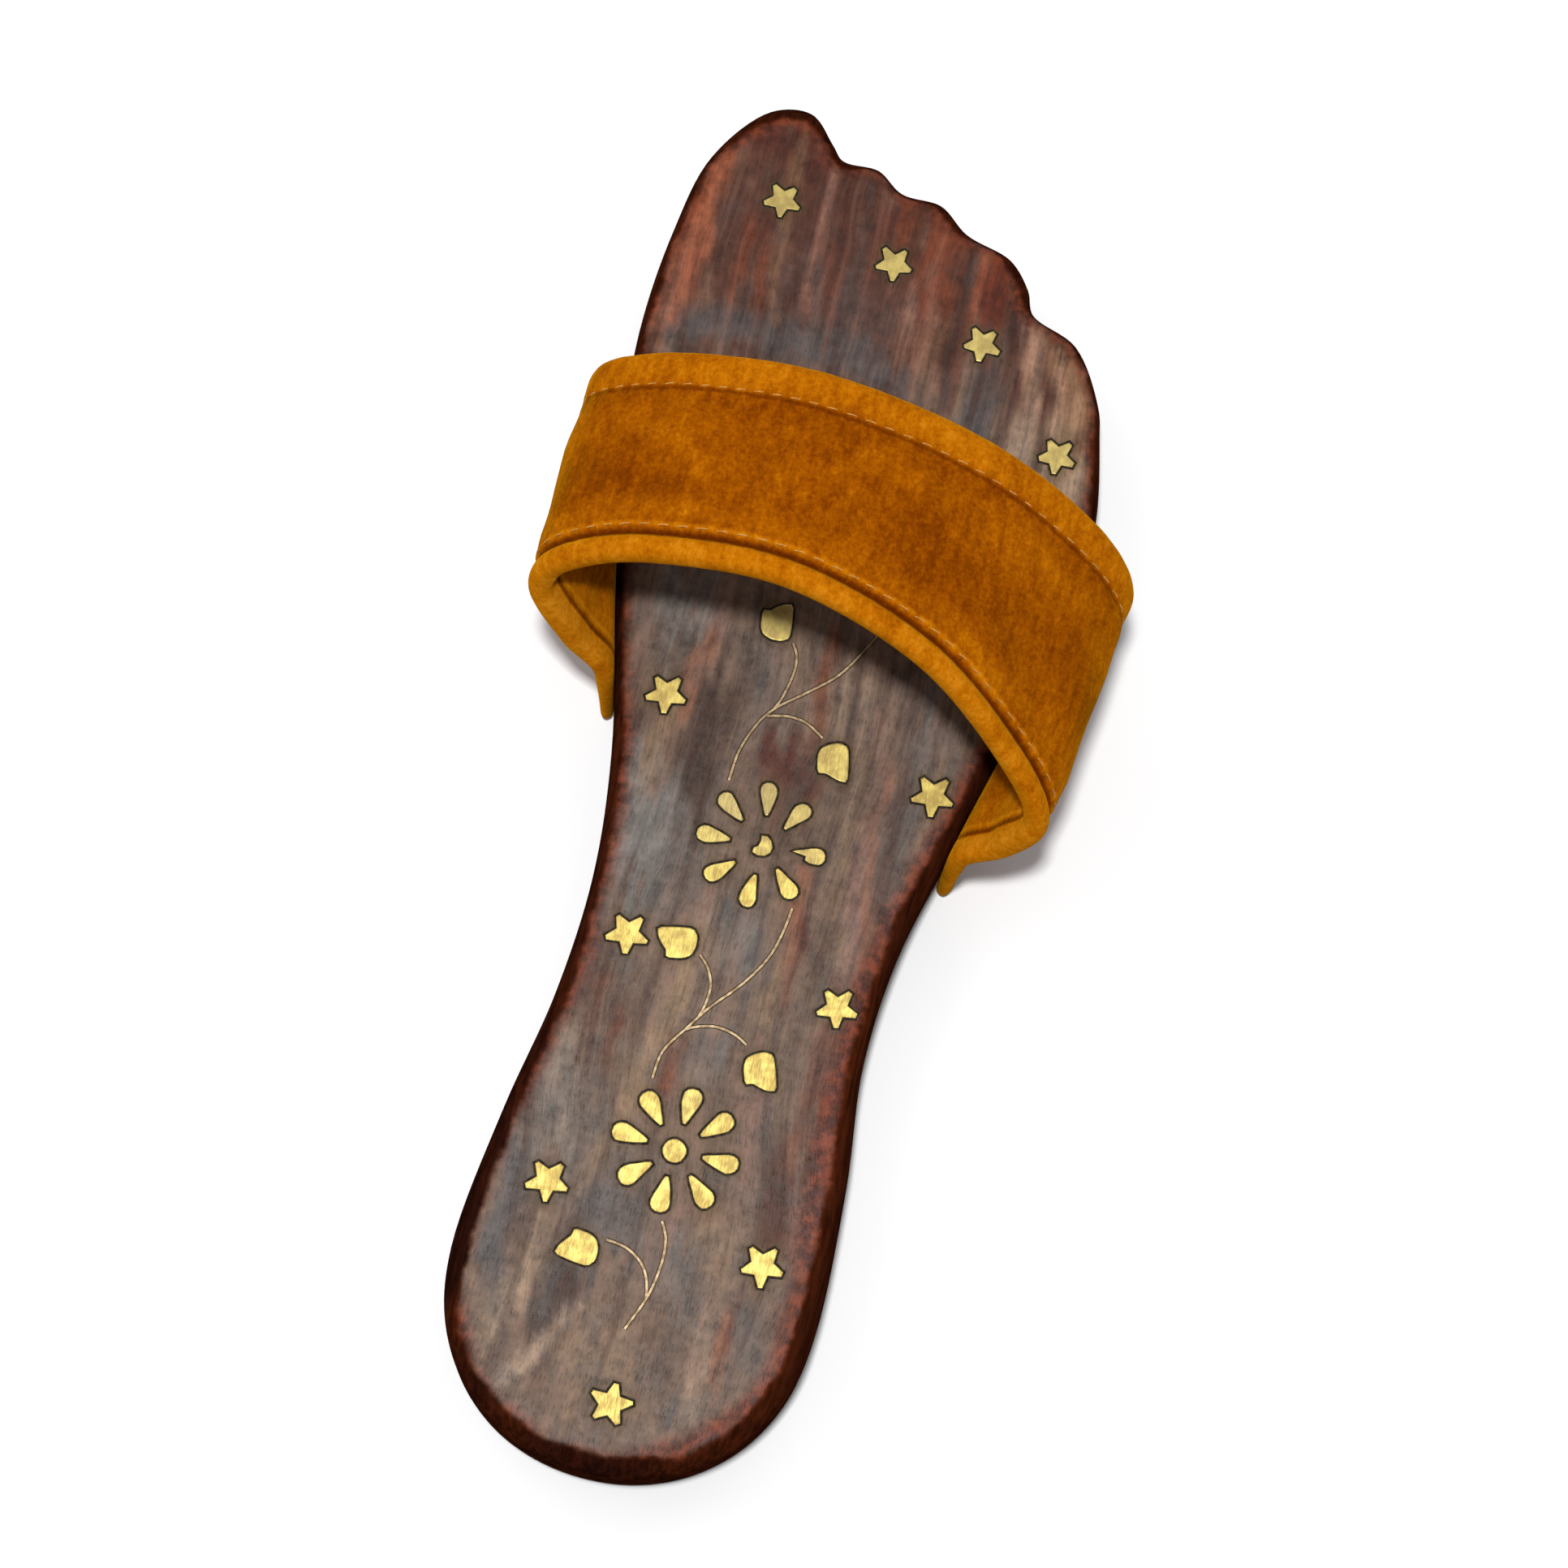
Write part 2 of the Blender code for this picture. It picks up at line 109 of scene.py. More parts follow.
def turn_faces_out():
    """Points every face of the open piece outwards, then leaves edit mode."""
    bpy.ops.mesh.select_all(action="SELECT")
    bpy.ops.mesh.normals_make_consistent(inside=False)
    bpy.ops.object.mode_set(mode="OBJECT")


def named(name):
    """Gives the new active object its name."""
    piece = bpy.context.object
    piece.name = name
    piece.data.name = name
    return piece


def modified(piece, kind, **settings):
    """Adds a modifier with its settings and applies it."""
    pick(piece)
    modifier = piece.modifiers.new(kind.title(), kind)
    for key, value in settings.items():
        setattr(modifier, key, value)
    bpy.ops.object.modifier_apply(modifier=modifier.name)


def cleaned(piece):
    """Merges doubles, drops loose ends and turns every face outwards."""
    edit(piece)
    bpy.ops.mesh.remove_doubles(threshold=1e-6)
    bpy.ops.mesh.delete_loose()
    turn_faces_out()


# %% [markdown]
# A shape that follows a formula is made by moving its points. NumPy holds them as one table,
# which is much quicker than asking Blender for one point after another.

# %% Read and move points
def coordinates(piece):
    """The piece's points as a table of numbers, in millimetres."""
    points = np.zeros(len(piece.data.vertices) * 3)
    piece.data.vertices.foreach_get("co", points)
    return points.reshape(-1, 3) / MM


def move_points(piece, points):
    """Puts the piece's points where the table says, in millimetres."""
    piece.data.vertices.foreach_set("co", (points * MM).ravel())
    piece.data.update()


def add_values(piece, name, values):
    """Keeps one number at each point, for the material to read."""
    attribute = piece.data.attributes.new(name, "FLOAT", "POINT")
    attribute.data.foreach_set("value", np.asarray(values, dtype=np.float32))


def read_values(piece, name):
    """The number kept at each point."""
    values = np.zeros(len(piece.data.vertices))
    piece.data.attributes[name].data.foreach_get("value", values)
    return values


# %% [markdown]
# ## The floor, the light and the camera
#
# The floor is one large pale sheet and the sky above it is the same soft white. The main light
# is a soft box almost overhead, a little towards the heel and the inner side, so the strap
# shades the footbed under it. The camera looks down from about 80 cm, leaning towards the heel.

# %% Floor
FLOOR_SIZE = 6.0
FLOOR_TONE = 0.69
deselect()
bpy.ops.mesh.primitive_plane_add(size=FLOOR_SIZE)
floor = named("floor")
floor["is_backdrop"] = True
white_floor = bpy.data.materials.new("white_floor")
white_floor.use_nodes = True
floor_shader = white_floor.node_tree.nodes["Principled BSDF"]
floor_shader.inputs["Base Color"].default_value = (FLOOR_TONE, FLOOR_TONE, FLOOR_TONE, 1.0)
floor_shader.inputs["Roughness"].default_value = 0.9
floor_shader.inputs["Specular IOR Level"].default_value = 0.1
floor.data.materials.append(white_floor)

# %% Lights
SKY_COLOUR = (0.97, 0.98, 1.0, 1.0)
SKY_STRENGTH = 0.36
LIGHTS = (
    # name, direction from the sandal, distance, size, watts
    ("overhead_softbox", (-0.045, -0.098, 1.0), 1.5, 0.12, 25.0),
    ("inner_fill", (-1.0, 0.35, 0.9), 1.6, 1.2, 6.0),
    ("toe_fill", (0.35, 1.0, 1.1), 1.6, 1.0, 4.0),
)
middle = (cad_low + cad_high) / 2.0
for name, direction, distance, size, watts in LIGHTS:
    away = Vector(direction).normalized()
    bpy.ops.object.light_add(type="AREA", location=middle + away * distance)
    light = named(name)
    light.rotation_euler = away.to_track_quat("Z", "Y").to_euler()
    light.data.size = size
    light.data.energy = watts

world = bpy.data.worlds.new("studio_white")
bpy.context.scene.world = world
world.use_nodes = True
sky = world.node_tree.nodes["Background"]
sky.inputs["Color"].default_value = SKY_COLOUR
sky.inputs["Strength"].default_value = SKY_STRENGTH
print(len(LIGHTS), "lights round the sandal")

# %% Camera
CAMERA_PLACE = Vector((17.0, -86.5, 801.0)) * MM
LOOKED_AT = Vector((5.5, 99.0, 18.0)) * MM
AXIS_TILT = math.radians(13.0)
LENS = 98.0
view_axis = (CAMERA_PLACE - LOOKED_AT).normalized()
up_hint = Vector((-math.sin(AXIS_TILT), math.cos(AXIS_TILT), 0.0))
right = up_hint.cross(view_axis).normalized()
up = view_axis.cross(right)
bpy.ops.object.camera_add(location=CAMERA_PLACE)
camera = named("camera")
camera.rotation_euler = Matrix((right, up, view_axis)).transposed().to_euler()
camera.data.lens = LENS
camera.data.clip_start = 0.01
bpy.context.scene.camera = camera
bpy.context.scene.view_settings.view_transform = "Standard"
print("the camera is", round(CAMERA_PLACE.z / MM), "mm over the floor")

# %% [markdown]
# ## The sole
#
# The sole is one plank, cut to the outline of a foot, its edges rounded over by hand. In
# Blender it could be a filled curve with a bevel, but a bevel folds over itself at the tight
# toe notches. So it starts as a circle with one corner for each point of the outline. Its face
# is extruded again and again, and each new edge loop is drawn in a little, as a rasp would.

# %% The outline's stations
SIDES = (
    # along, inner side, outer side
    (0.0, -34.4, 34.5),
    (27.5, -31.2, 34.0),
    (50.5, -27.0, 32.0),
    (73.5, -25.4, 34.0),
    (97.5, -27.6, 40.0),
    (130.5, -34.6, 48.4),
    (160.5, -40.4, 52.4),
    (180.5, -42.0, 49.4),
)
TOES = (
    # x, along, from the great toe to the little toe
    (-40.4, 201.6),
    (-36.6, 218.6),
    (-27.4, 230.4),
    (-19.4, 231.8),
    (-14.0, 226.6),
    (-11.3, 223.8),
    (-4.1, 223.5),
    (1.4, 219.9),
    (9.4, 219.3),
    (15.6, 214.7),
    (25.0, 211.6),
    (29.6, 206.4),
    (31.6, 201.7),
    (41.1, 197.3),
    (47.9, 186.3),
)
HEEL_HALF_WIDTH = 34.4
HEEL_DEPTH = 34.5
HEEL_STEPS = 9
OUTER_ROUNDNESS = 2.05
INNER_ROUNDNESS = 2.15

# %% [markdown]
# The back of the heel is a half circle, a little squarer than a true one. The stations are
# then joined by a smooth curve. It weighs each span by its length, because a plain one swings
# out of the short spans between the toes.

# %% The smooth outline
def heel_points():
    """Points round the back of the heel, from the outer side to the inner side."""
    points = []
    for k in range(1, HEEL_STEPS):
        angle = math.pi * k / HEEL_STEPS
        across, back = math.cos(angle), math.sin(angle)
        power = 2.0 / (OUTER_ROUNDNESS if across > 0.0 else INNER_ROUNDNESS)
        x = math.copysign(HEEL_HALF_WIDTH * abs(across) ** power, across)
        points.append(Vector((x, -HEEL_DEPTH * back ** power)))
    return points


def even_point(before, start, end, after, t):
    """A point between start and end on a smooth curve that weighs its spans by their length."""
    t0 = 0.0
    t1 = t0 + math.sqrt((start - before).length)
    t2 = t1 + math.sqrt((end - start).length)
    t3 = t2 + math.sqrt((after - end).length)
    t = t1 + (t2 - t1) * t
    a1 = before.lerp(start, (t - t0) / (t1 - t0))
    a2 = start.lerp(end, (t - t1) / (t2 - t1))
    a3 = end.lerp(after, (t - t2) / (t3 - t2))
    b1 = a1.lerp(a2, (t - t0) / (t2 - t0))
    b2 = a2.lerp(a3, (t - t1) / (t3 - t1))
    return b1.lerp(b2, (t - t1) / (t2 - t1))


def closed_curve(points, steps):
    """A smooth closed curve through the points."""
    count = len(points)
    curve = []
    for i in range(count):
        span = (points[i - 1], points[i], points[(i + 1) % count], points[(i + 2) % count])
        curve += [even_point(*span, k / steps) for k in range(steps)]
    return curve


def sole_outline(steps):
    """The outline of the sole, seen from above."""
    inner = [Vector((x, along)) for along, x, _ in SIDES]
    outer = [Vector((x, along)) for along, _, x in SIDES]
    toes = [Vector(point) for point in TOES]
    return closed_curve(inner + toes + outer[::-1] + heel_points(), steps)


OUTLINE_STEPS = 8
outline = sole_outline(OUTLINE_STEPS)
print("the outline has", len(outline), "points")

# %% [markdown]
# Drawing a loop in by a few millimetres at once would cross its own corners. It is drawn in by
# half a millimetre at a time, and relaxed a little after each step.

# %% Draw a loop in
INSET_STEP = 0.5
INSET_RELAX = 0.06
MITRE_LIMIT = 1.5


def with_neighbours(loop):
    """Each item of a closed loop, between the one before it and the one after."""
    return zip(loop[-1:] + loop[:-1], loop, loop[1:] + loop[:1])


def grown(loop, distance):
    """A closed loop with each side moved outwards by a distance, or inwards below zero."""
    area = sum(here.cross(after) for _, here, after in with_neighbours(loop)) / 2.0
    turn = 1.0 if area > 0.0 else -1.0
    moved = []
    for before, here, after in with_neighbours(loop):
        first = (here - before).normalized()
        second = (after - here).normalized()
        out_first = Vector((first.y, -first.x)) * turn
        out_second = Vector((second.y, -second.x)) * turn
        mitre = out_first + out_second
        reach = min(1.0 / math.sqrt((1.0 + out_first.dot(out_second)) / 2.0), MITRE_LIMIT)
        moved.append(here + mitre.normalized() * reach * distance)
    return moved


def drawn_in(loop, distance):
    """The loop drawn in by a distance, in small steps."""
    count = math.ceil(distance / INSET_STEP)
    for _ in range(count):
        loop = grown(loop, -distance / count)
        loop = [here.lerp((before + after) / 2.0, INSET_RELAX)
                for before, here, after in with_neighbours(loop)]
    return loop


# %% [markdown]
# Each loop of the sole has a depth inside the outline and a height: a small round at the floor,
# the wall, and a wider round at the footbed.

# %% Loops of the sole
THICKNESS = footbed / MM
TOP_ROUND = 4.0
BOTTOM_ROUND = 3.0
WALL_LOOPS = (6.5, 10.0, 13.5)


def rounded_edge(radius, angles):
    """How far in and how far down each loop of a rounded edge lies."""
    turns = [math.radians(angle) for angle in angles]
    return [(radius * (1 - math.cos(turn)), radius * (1 - math.sin(turn))) for turn in turns]


levels = rounded_edge(BOTTOM_ROUND, (90, 60, 30, 0))
levels += [(0.0, height) for height in WALL_LOOPS]
levels += [(inset, THICKNESS - drop) for inset, drop in rounded_edge(TOP_ROUND, range(0, 91, 10))]


def ring_corners(inset, height):
    """The places of one loop's corners."""
    return [Vector((p.x, p.y, height)) * MM for p in drawn_in(outline, inset)]


deselect()
bpy.ops.mesh.primitive_circle_add(vertices=len(outline), radius=0.05, fill_type="NGON")
sole = named("carved_sole")
for corner, place in zip(sole.data.vertices, ring_corners(*levels[0])):
    corner.co = place
edit(sole)
for level in levels[1:]:
    bpy.ops.mesh.extrude_region_move()
    shape = bmesh.from_edit_mesh(sole.data)
    top = next(face for face in shape.faces if face.select)
    for loop, place in zip(top.loops, ring_corners(*level)):
        loop.vert.co = place
    bmesh.update_edit_mesh(sole.data)
bpy.ops.object.mode_set(mode="OBJECT")
print("the sole has", len(levels), "loops")

# %% [markdown]
# The footbed is one face now. Cutting it across and along gives it a net of points, which the
# painted figure and the dark edge, stain and painted shade, need. The underside is cut too, for
# the arch.

# %% Cut the footbed and the underside into a net
FINE_NET = 1.25
COARSE_NET = 4.0
NET_ACROSS = (-40.0, 50.0)
NET_ALONG = (-28.0, 228.0)


def cut_flat_faces(height, starts, normal):
    """Bisects the level faces at a height by planes with one normal."""
    for start in starts:
        shape = bmesh.from_edit_mesh(sole.data)
        bpy.ops.mesh.select_all(action="DESELECT")
        for face in shape.faces:
            level = abs(face.normal.z) > 0.999
            face.select_set(level and abs(face.calc_center_median().z - height) < 1e-5)
        bpy.ops.mesh.bisect(plane_co=start, plane_no=normal)


edit(sole)
for height, pitch in ((0.0, COARSE_NET), (footbed, FINE_NET)):
    across = [Vector((x * MM, 0.0, 0.0)) for x in np.arange(*NET_ACROSS, pitch)]
    along = [Vector((0.0, y * MM, 0.0)) for y in np.arange(*NET_ALONG, pitch)]
    cut_flat_faces(height, along, (0.0, 1.0, 0.0))
    cut_flat_faces(height, across, (1.0, 0.0, 0.0))
bpy.ops.object.mode_set(mode="OBJECT")
cleaned(sole)
print("the sole has", len(sole.data.polygons), "faces")

# %% [markdown]
# The underside is hollowed under the arch and lifted under the toes, so the sandal stands on
# its heel and its ball. The lower part of the wall rises with it.

# %% Arch and toe lift
ARCH_START, ARCH_END, ARCH_RISE = 40.0, 108.0, 4.0
LIFT_START, LIFT_END, LIFT_RISE = 190.0, 232.0, 3.0


def floor_lift(y):
    """How far the underside stands off the floor, in millimetres."""
    arch = np.clip((y - ARCH_START) / (ARCH_END - ARCH_START), 0.0, 1.0)
    toe = np.clip((y - LIFT_START) / (LIFT_END - LIFT_START), 0.0, None)
    return ARCH_RISE * np.sin(np.pi * arch) ** 2 + LIFT_RISE * toe ** 2


points = coordinates(sole)
lift = floor_lift(points[:, 1])
points[:, 2] += lift * (1.0 - points[:, 2] / THICKNESS)
move_points(sole, points)
print("the underside rises up to", round(lift.max(), 1), "mm")

# %% [markdown]
# ## The brass
#
# The stars, petals, dots and buds are cut from sheet brass with a small saw, so no two are
# quite alike. Each one starts as a circle with a corner for each point of its outline. It is
# extruded to its thickness, and its face is extruded again to smaller rings, which round the
# filed edge. An inset would do the same, but it shoots spikes out of a petal's sharp point.

# %% A plate from an outline
START_RADIUS = 0.001


def plate(name, loop, low, high):
    """A flat plate with this outline, from one height to another."""
    deselect()
    bpy.ops.mesh.primitive_circle_add(vertices=len(loop), radius=START_RADIUS, fill_type="NGON")
    piece = named(name)
    for corner, point in zip(piece.data.vertices, loop):
        corner.co = Vector((point.x, point.y, low)) * MM
    edit(piece)
    rise = (0.0, 0.0, (high - low) * MM)
    bpy.ops.mesh.extrude_region_move(TRANSFORM_OT_translate={"value": rise})
    turn_faces_out()
    return piece


# %% [markdown]
# A crown is what is added on a plate: its top face is extruded onto one ring after another.
# Each corner finds the point of the ring that it belongs to by the point it stands on now.

# %% Crown, shrink and join
def gaps_to(loop, corner):
    """How far a corner lies from each point of a loop, seen from above."""
    return [(corner.co.xy / MM - point).length for point in loop]


def crown(piece, loop, rings):
    """Extrudes the top face again and again, each time onto a new ring at its height."""
    edit(piece, "DESELECT")
    shape = bmesh.from_edit_mesh(piece.data)
    max(shape.faces, key=lambda face: face.calc_center_median().z).select_set(True)
    bmesh.update_edit_mesh(piece.data)
    for ring, height in rings:
        bpy.ops.mesh.extrude_region_move()
        shape = bmesh.from_edit_mesh(piece.data)
        corners = next(face for face in shape.faces if face.select).verts
        order = []
        for corner in corners:
            gaps = gaps_to(loop, corner)
            order.append(gaps.index(min(gaps)))
        for corner, k in zip(corners, order):
            corner.co = Vector((ring[k].x, ring[k].y, height)) * MM
        bmesh.update_edit_mesh(piece.data)
        loop = ring
    bpy.ops.object.mode_set(mode="OBJECT")


def scaled(loop, share):
    """The loop drawn towards its own middle."""
    centre = sum(loop, Vector((0.0, 0.0))) / len(loop)
    return [centre.lerp(point, share) for point in loop]


def join(pieces, name):
    """Joins pieces into the first one and names it."""
    pick(pieces[0])
    for piece in pieces:
        piece.select_set(True)
    bpy.ops.object.join()
    return named(name)


# %% [markdown]
# A star has five arms with blunt tips. A petal is a drop with its point towards the flower's
# dot. A bud is a small cup with two tips. The tables say where each one lies and how it turns.

# %% Where the brass lies
STARS = (
    # x, along, turn in degrees, radius
    (-20.9, 211.9, 57.0, 3.8),
    (3.0, 204.4, 61.0, 3.8),
    (23.1, 192.4, 56.0, 3.8),
    (42.0, 173.7, 56.0, 3.8),
    (-30.5, 169.5, 58.0, 4.0),
    (-20.1, 110.4, 61.0, 4.0),
    (33.3, 102.8, 60.0, 4.2),
    (-16.4, 63.9, 60.0, 4.2),
    (24.8, 59.1, 63.0, 4.0),
    (-19.9, 15.4, 61.0, 4.2),
    (22.0, 9.2, 62.0, 4.2),
    (0.9, -21.5, 15.0, 4.2),
)
FLOWERS = (
    # name, x, along, dot radius, petal length, petal width
    ("upper", 4.6, 85.7, 1.7, 6.3, 3.2),
    ("lower", 1.5, 26.2, 2.2, 6.7, 3.6),
)
PETALS = {
    # angle in degrees, distance of the petal's middle from the dot
    "upper": ((3.4, 8.5), (55.7, 8.5), (98.3, 9.4), (140.7, 9.8),
              (179.4, 9.7), (219.9, 9.2), (266.3, 8.6), (314.1, 7.9)),
    "lower": ((0.1, 8.7), (43.1, 9.0), (83.9, 8.7), (129.5, 8.8),
              (173.3, 8.7), (221.5, 8.1), (267.7, 8.3), (314.8, 8.8)),
}
BUDS = (
    # x, along, heading of the tips in degrees, side of the longer tip: 1 is left
    (-2.8, 128.7, 101.0, -1),
    (13.6, 105.1, -83.0, 1),
    (-6.7, 64.5, 195.0, -1),
    (13.5, 44.4, -77.0, 1),
    (-11.2, 4.9, 167.0, 1),
)
BUD_SHAPE = (
    # along the heading, to the left, from the round base up one side and back
    (-3.5, 0.9), (-2.8, 2.5), (0.2, 2.9), (3.9, 3.0), (3.8, 1.3), (3.0, -0.5),
    (2.5, -1.3), (2.6, -2.8), (-0.6, -3.1), (-2.2, -2.6), (-3.1, -1.1),
)

# %% [markdown]
# A sawn edge wanders, so the lengths and widths below are drawn between two limits. The first
# dot has lost a piece, and the point of the petal beside it is cut short on one side.

# %% Stars and dots
ARM_REACH = (0.90, 0.98)
ARM_TIP = (0.32, 0.48)
NOTCH_REACH = (0.49, 0.54)
DOT_REACH = (0.97, 1.03)
DOT_CORNERS = 16


def polar(radius, angle):
    """A point at a distance and an angle from the origin."""
    return radius * math.cos(angle), radius * math.sin(angle)


def turned(points, angle, x, along):
    """Points turned about their origin and moved to their place."""
    c, s = polar(1.0, angle)
    return [Vector((x + c * p[0] - s * p[1], along + s * p[0] + c * p[1])) for p in points]


def star_shape(radius):
    """Five arms with blunt tips, each sawn a little longer or shorter."""
    points = []
    for k in range(5):
        tip = math.tau * k / 5.0
        reach = radius * chance.uniform(*ARM_REACH)
        blunt = chance.uniform(*ARM_TIP)
        c, s = polar(1.0, tip)
        points.append((reach * c + blunt * s, reach * s - blunt * c))
        points.append((reach * c - blunt * s, reach * s + blunt * c))
        points.append(polar(radius * chance.uniform(*NOTCH_REACH), tip + math.pi / 5.0))
    return points


def dot_shape(radius):
    """A dot filed almost round."""
    return [polar(radius * chance.uniform(*DOT_REACH), math.tau * k / DOT_CORNERS)
            for k in range(DOT_CORNERS)]


# %% Petals and buds
PETAL_LEAN = 0.2
PETAL_WIDTH = (0.95, 1.05)
PETAL_CUT = 0.42
BUD_LENGTH = (-0.12, 0.12)
CORNER_SHARE = 0.2
PETAL_SIDE = (
    # share of the length from the point, share of half the width
    (0.0, 0.15), (0.12, 0.36), (0.34, 0.62), (0.55, 0.87), (0.71, 1.0), (0.84, 0.94),
    (0.94, 0.70), (1.0, 0.30),
)
BITTEN_DOT = (
    # x, along, from the dot's middle
    (-0.9, 2.2), (0.2, 2.3), (1.1, 1.6), (1.6, 0.4), (1.4, -0.7), (0.5, -1.5), (-0.8, -1.7),
    (-1.9, -1.3), (-1.9, -0.5), (-1.1, 0.1), (-0.8, 1.2),
)


def petal_shape(length, width, cut):
    """A drop along its own axis; cut takes a share off one side of its point."""
    lean = chance.uniform(-PETAL_LEAN, PETAL_LEAN)
    points = []
    for hand, side in ((1.0, PETAL_SIDE), (-1.0, PETAL_SIDE[::-1])):
        for ahead, aside in side:
            if hand < 0.0:
                ahead = max(ahead, cut)
            half = aside * width / 2.0 * chance.uniform(*PETAL_WIDTH)
            points.append(((ahead - 0.5) * length, hand * half + lean * math.sin(ahead * 3.0)))
    return points


def filed(points):
    """Takes the corners off an outline."""
    softer = []
    for before, point, after in with_neighbours(points):
        for other in (before, after):
            softer.append(tuple(p + (q - p) * CORNER_SHARE for p, q in zip(point, other)))
    return softer


# %% Outline each piece of brass
inlays = []
for k, (x, along, turn, radius) in enumerate(STARS, 1):
    loop = turned(star_shape(radius), math.radians(turn), x, along)
    inlays.append((f"star_{k:02d}", loop))
for name, x, along, dot, length, width in FLOWERS:
    shape = BITTEN_DOT if name == "upper" else dot_shape(dot)
    inlays.append((f"{name}_flower_dot", turned(shape, 0.0, x, along)))
    for k, (degrees, distance) in enumerate(PETALS[name], 1):
        angle = math.radians(degrees)
        shape = petal_shape(length, width, PETAL_CUT if (name, k) == ("upper", 1) else 0.0)
        out_x, out_along = polar(distance, angle)
        loop = turned(shape, angle, x + out_x, along + out_along)
        inlays.append((f"{name}_flower_petal_{k}", loop))
for k, (x, along, heading, hand) in enumerate(BUDS, 1):
    shape = [(a + chance.uniform(*BUD_LENGTH), b * hand) for a, b in BUD_SHAPE]
    inlays.append((f"bud_{k}", turned(filed(shape), math.radians(heading), x, along)))
print(len(inlays), "brass pieces")

# %% [markdown]
# The plates stand a hair over the wood. Each one has a face a little smaller than its outline,
# so its edge catches the light, and each one sits a little crooked in its lac.

# %% Cut the brass
BRASS_THICKNESS = 1.2
PROUD = 0.05
FILED_RISE = 0.04
FILED_SHARE = 0.94
TILT = math.radians(1.3)


def tilted(piece, loop):
    """Tips a piece by a hair, as each one sits in its lac."""
    centre = Vector((sum(p.x for p in loop), sum(p.y for p in loop))) / len(loop)
    place = Matrix.Translation(Vector((centre.x, centre.y, THICKNESS)) * MM)
    tip = Matrix.Rotation(chance.uniform(-TILT, TILT), 4, "X")
    tip = tip @ Matrix.Rotation(chance.uniform(-TILT, TILT), 4, "Y")
    piece.data.transform(place @ tip @ place.inverted())


brass_pieces = []
face = THICKNESS + PROUD
for name, loop in inlays:
    piece = plate(f"brass_{name}", loop, THICKNESS - BRASS_THICKNESS, face)
    crown(piece, loop, ((scaled(loop, FILED_SHARE), face + FILED_RISE),))
    tilted(piece, loop)
    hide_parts(name)
    brass_pieces.append(piece)
print("the last plate has", len(brass_pieces[-1].data.polygons), "faces")

# %% [markdown]
# ## The wire stems
#
# The stems are flat brass wire hammered into a sawn groove. A branch runs into its main stem.
# Each one is a narrow plate along a smooth route, and a boolean union melts a branch into
# the stem that carries it.

# %% Routes of the wire
STEMS = (
    # name, waypoints of the main stem, waypoints of each branch
    ("upper_vine", ((17.6, 133.6), (15.3, 128.8), (11.1, 121.8), (6.0, 117.0), (0.8, 112.6),
                    (-1.9, 108.9), (-4.1, 103.0), (-4.7, 96.8)),
     (((1.1, 125.6), (2.3, 123.2), (2.5, 119.9), (1.5, 115.0), (0.3, 112.0)),
      ((10.6, 108.9), (7.3, 110.9), (4.0, 111.5), (1.3, 111.1), (-0.6, 110.6)))),
    ("middle_vine", ((12.4, 75.6), (11.7, 70.6), (10.1, 65.2), (6.5, 59.4), (1.7, 53.8),
                     (-1.6, 49.0), (-4.9, 43.8), (-5.6, 38.4)),
     (((-2.3, 63.0), (-0.4, 61.0), (0.9, 57.9), (0.8, 54.4), (0.0, 51.4)),
      ((9.9, 48.5), (7.3, 49.9), (3.8, 50.5), (0.5, 49.8), (-1.6, 48.8)))),
    ("lower_vine", ((2.3, 13.0), (3.7, 10.0), (4.0, 5.4), (2.9, -1.0), (0.2, -7.7)),
     (((-6.8, 7.4), (-3.1, 6.8), (0.2, 4.8), (2.0, 1.9), (2.7, -1.4)),)),
)
ROUTE_STEPS = 5
STEM_NODES = {
    "upper_vine": ("upper_stem", "top_bud_stem", "upper_bud_stem"),
    "middle_vine": ("middle_stem", "side_bud_stem", "middle_bud_stem"),
    "lower_vine": ("lower_stem", "lower_bud_stem"),
}


def smooth_point(before, start, end, after, t):
    """A point of the curve that runs smoothly from start to end, through all four points."""
    return 0.5 * (
        2.0 * start
        + (end - before) * t
        + (2.0 * before - 5.0 * start + 4.0 * end - after) * t ** 2
        + (3.0 * start - before - 3.0 * end + after) * t ** 3
    )


def open_curve(points, steps):
    """A smooth curve from the first point to the last."""
    last = len(points) - 1
    curve = []
    for i in range(last):
        span = (points[max(i - 1, 0)], points[i], points[i + 1], points[min(i + 2, last)])
        curve += [smooth_point(*span, k / steps) for k in range(steps)]
    return curve + [points[last]]


def ribbon(route, width):
    """The outline of an even band along a route."""
    route = open_curve([Vector(point) for point in route], ROUTE_STEPS)
    left, right = [], []
    for i, here in enumerate(route):
        ahead = route[min(i + 1, len(route) - 1)] - route[max(i - 1, 0)]
        aside = Vector((-ahead.y, ahead.x)).normalized() * width / 2.0
        left.append(here + aside)
        right.append(here - aside)
    return left + right[::-1]


# %% [markdown]
# The wire's top is narrower than its foot, as hammering leaves it. A branch lies a hair lower
# than its stem: faces that lie in one plane give a boolean union no clear answer.

# %% Lay the wire
WIRE_WIDTH = 0.56
WIRE_TOP = 0.42
WIRE_DEPTH = 1.0
WIRE_PROUD = 0.03
WIRE_CROWN = 0.09
BRANCH_SINK = 0.012


def lay_wire(name, route, sink=0.0):
    """A hammered wire whose upper edges are rounded over, sunk by a hair where it is a branch."""
    loop = ribbon(route, WIRE_WIDTH)
    wire = plate(name, loop, THICKNESS - WIRE_DEPTH + sink, THICKNESS + WIRE_PROUD - sink)
    crown(wire, loop, ((ribbon(route, WIRE_TOP), THICKNESS + WIRE_CROWN - sink),))
    return wire


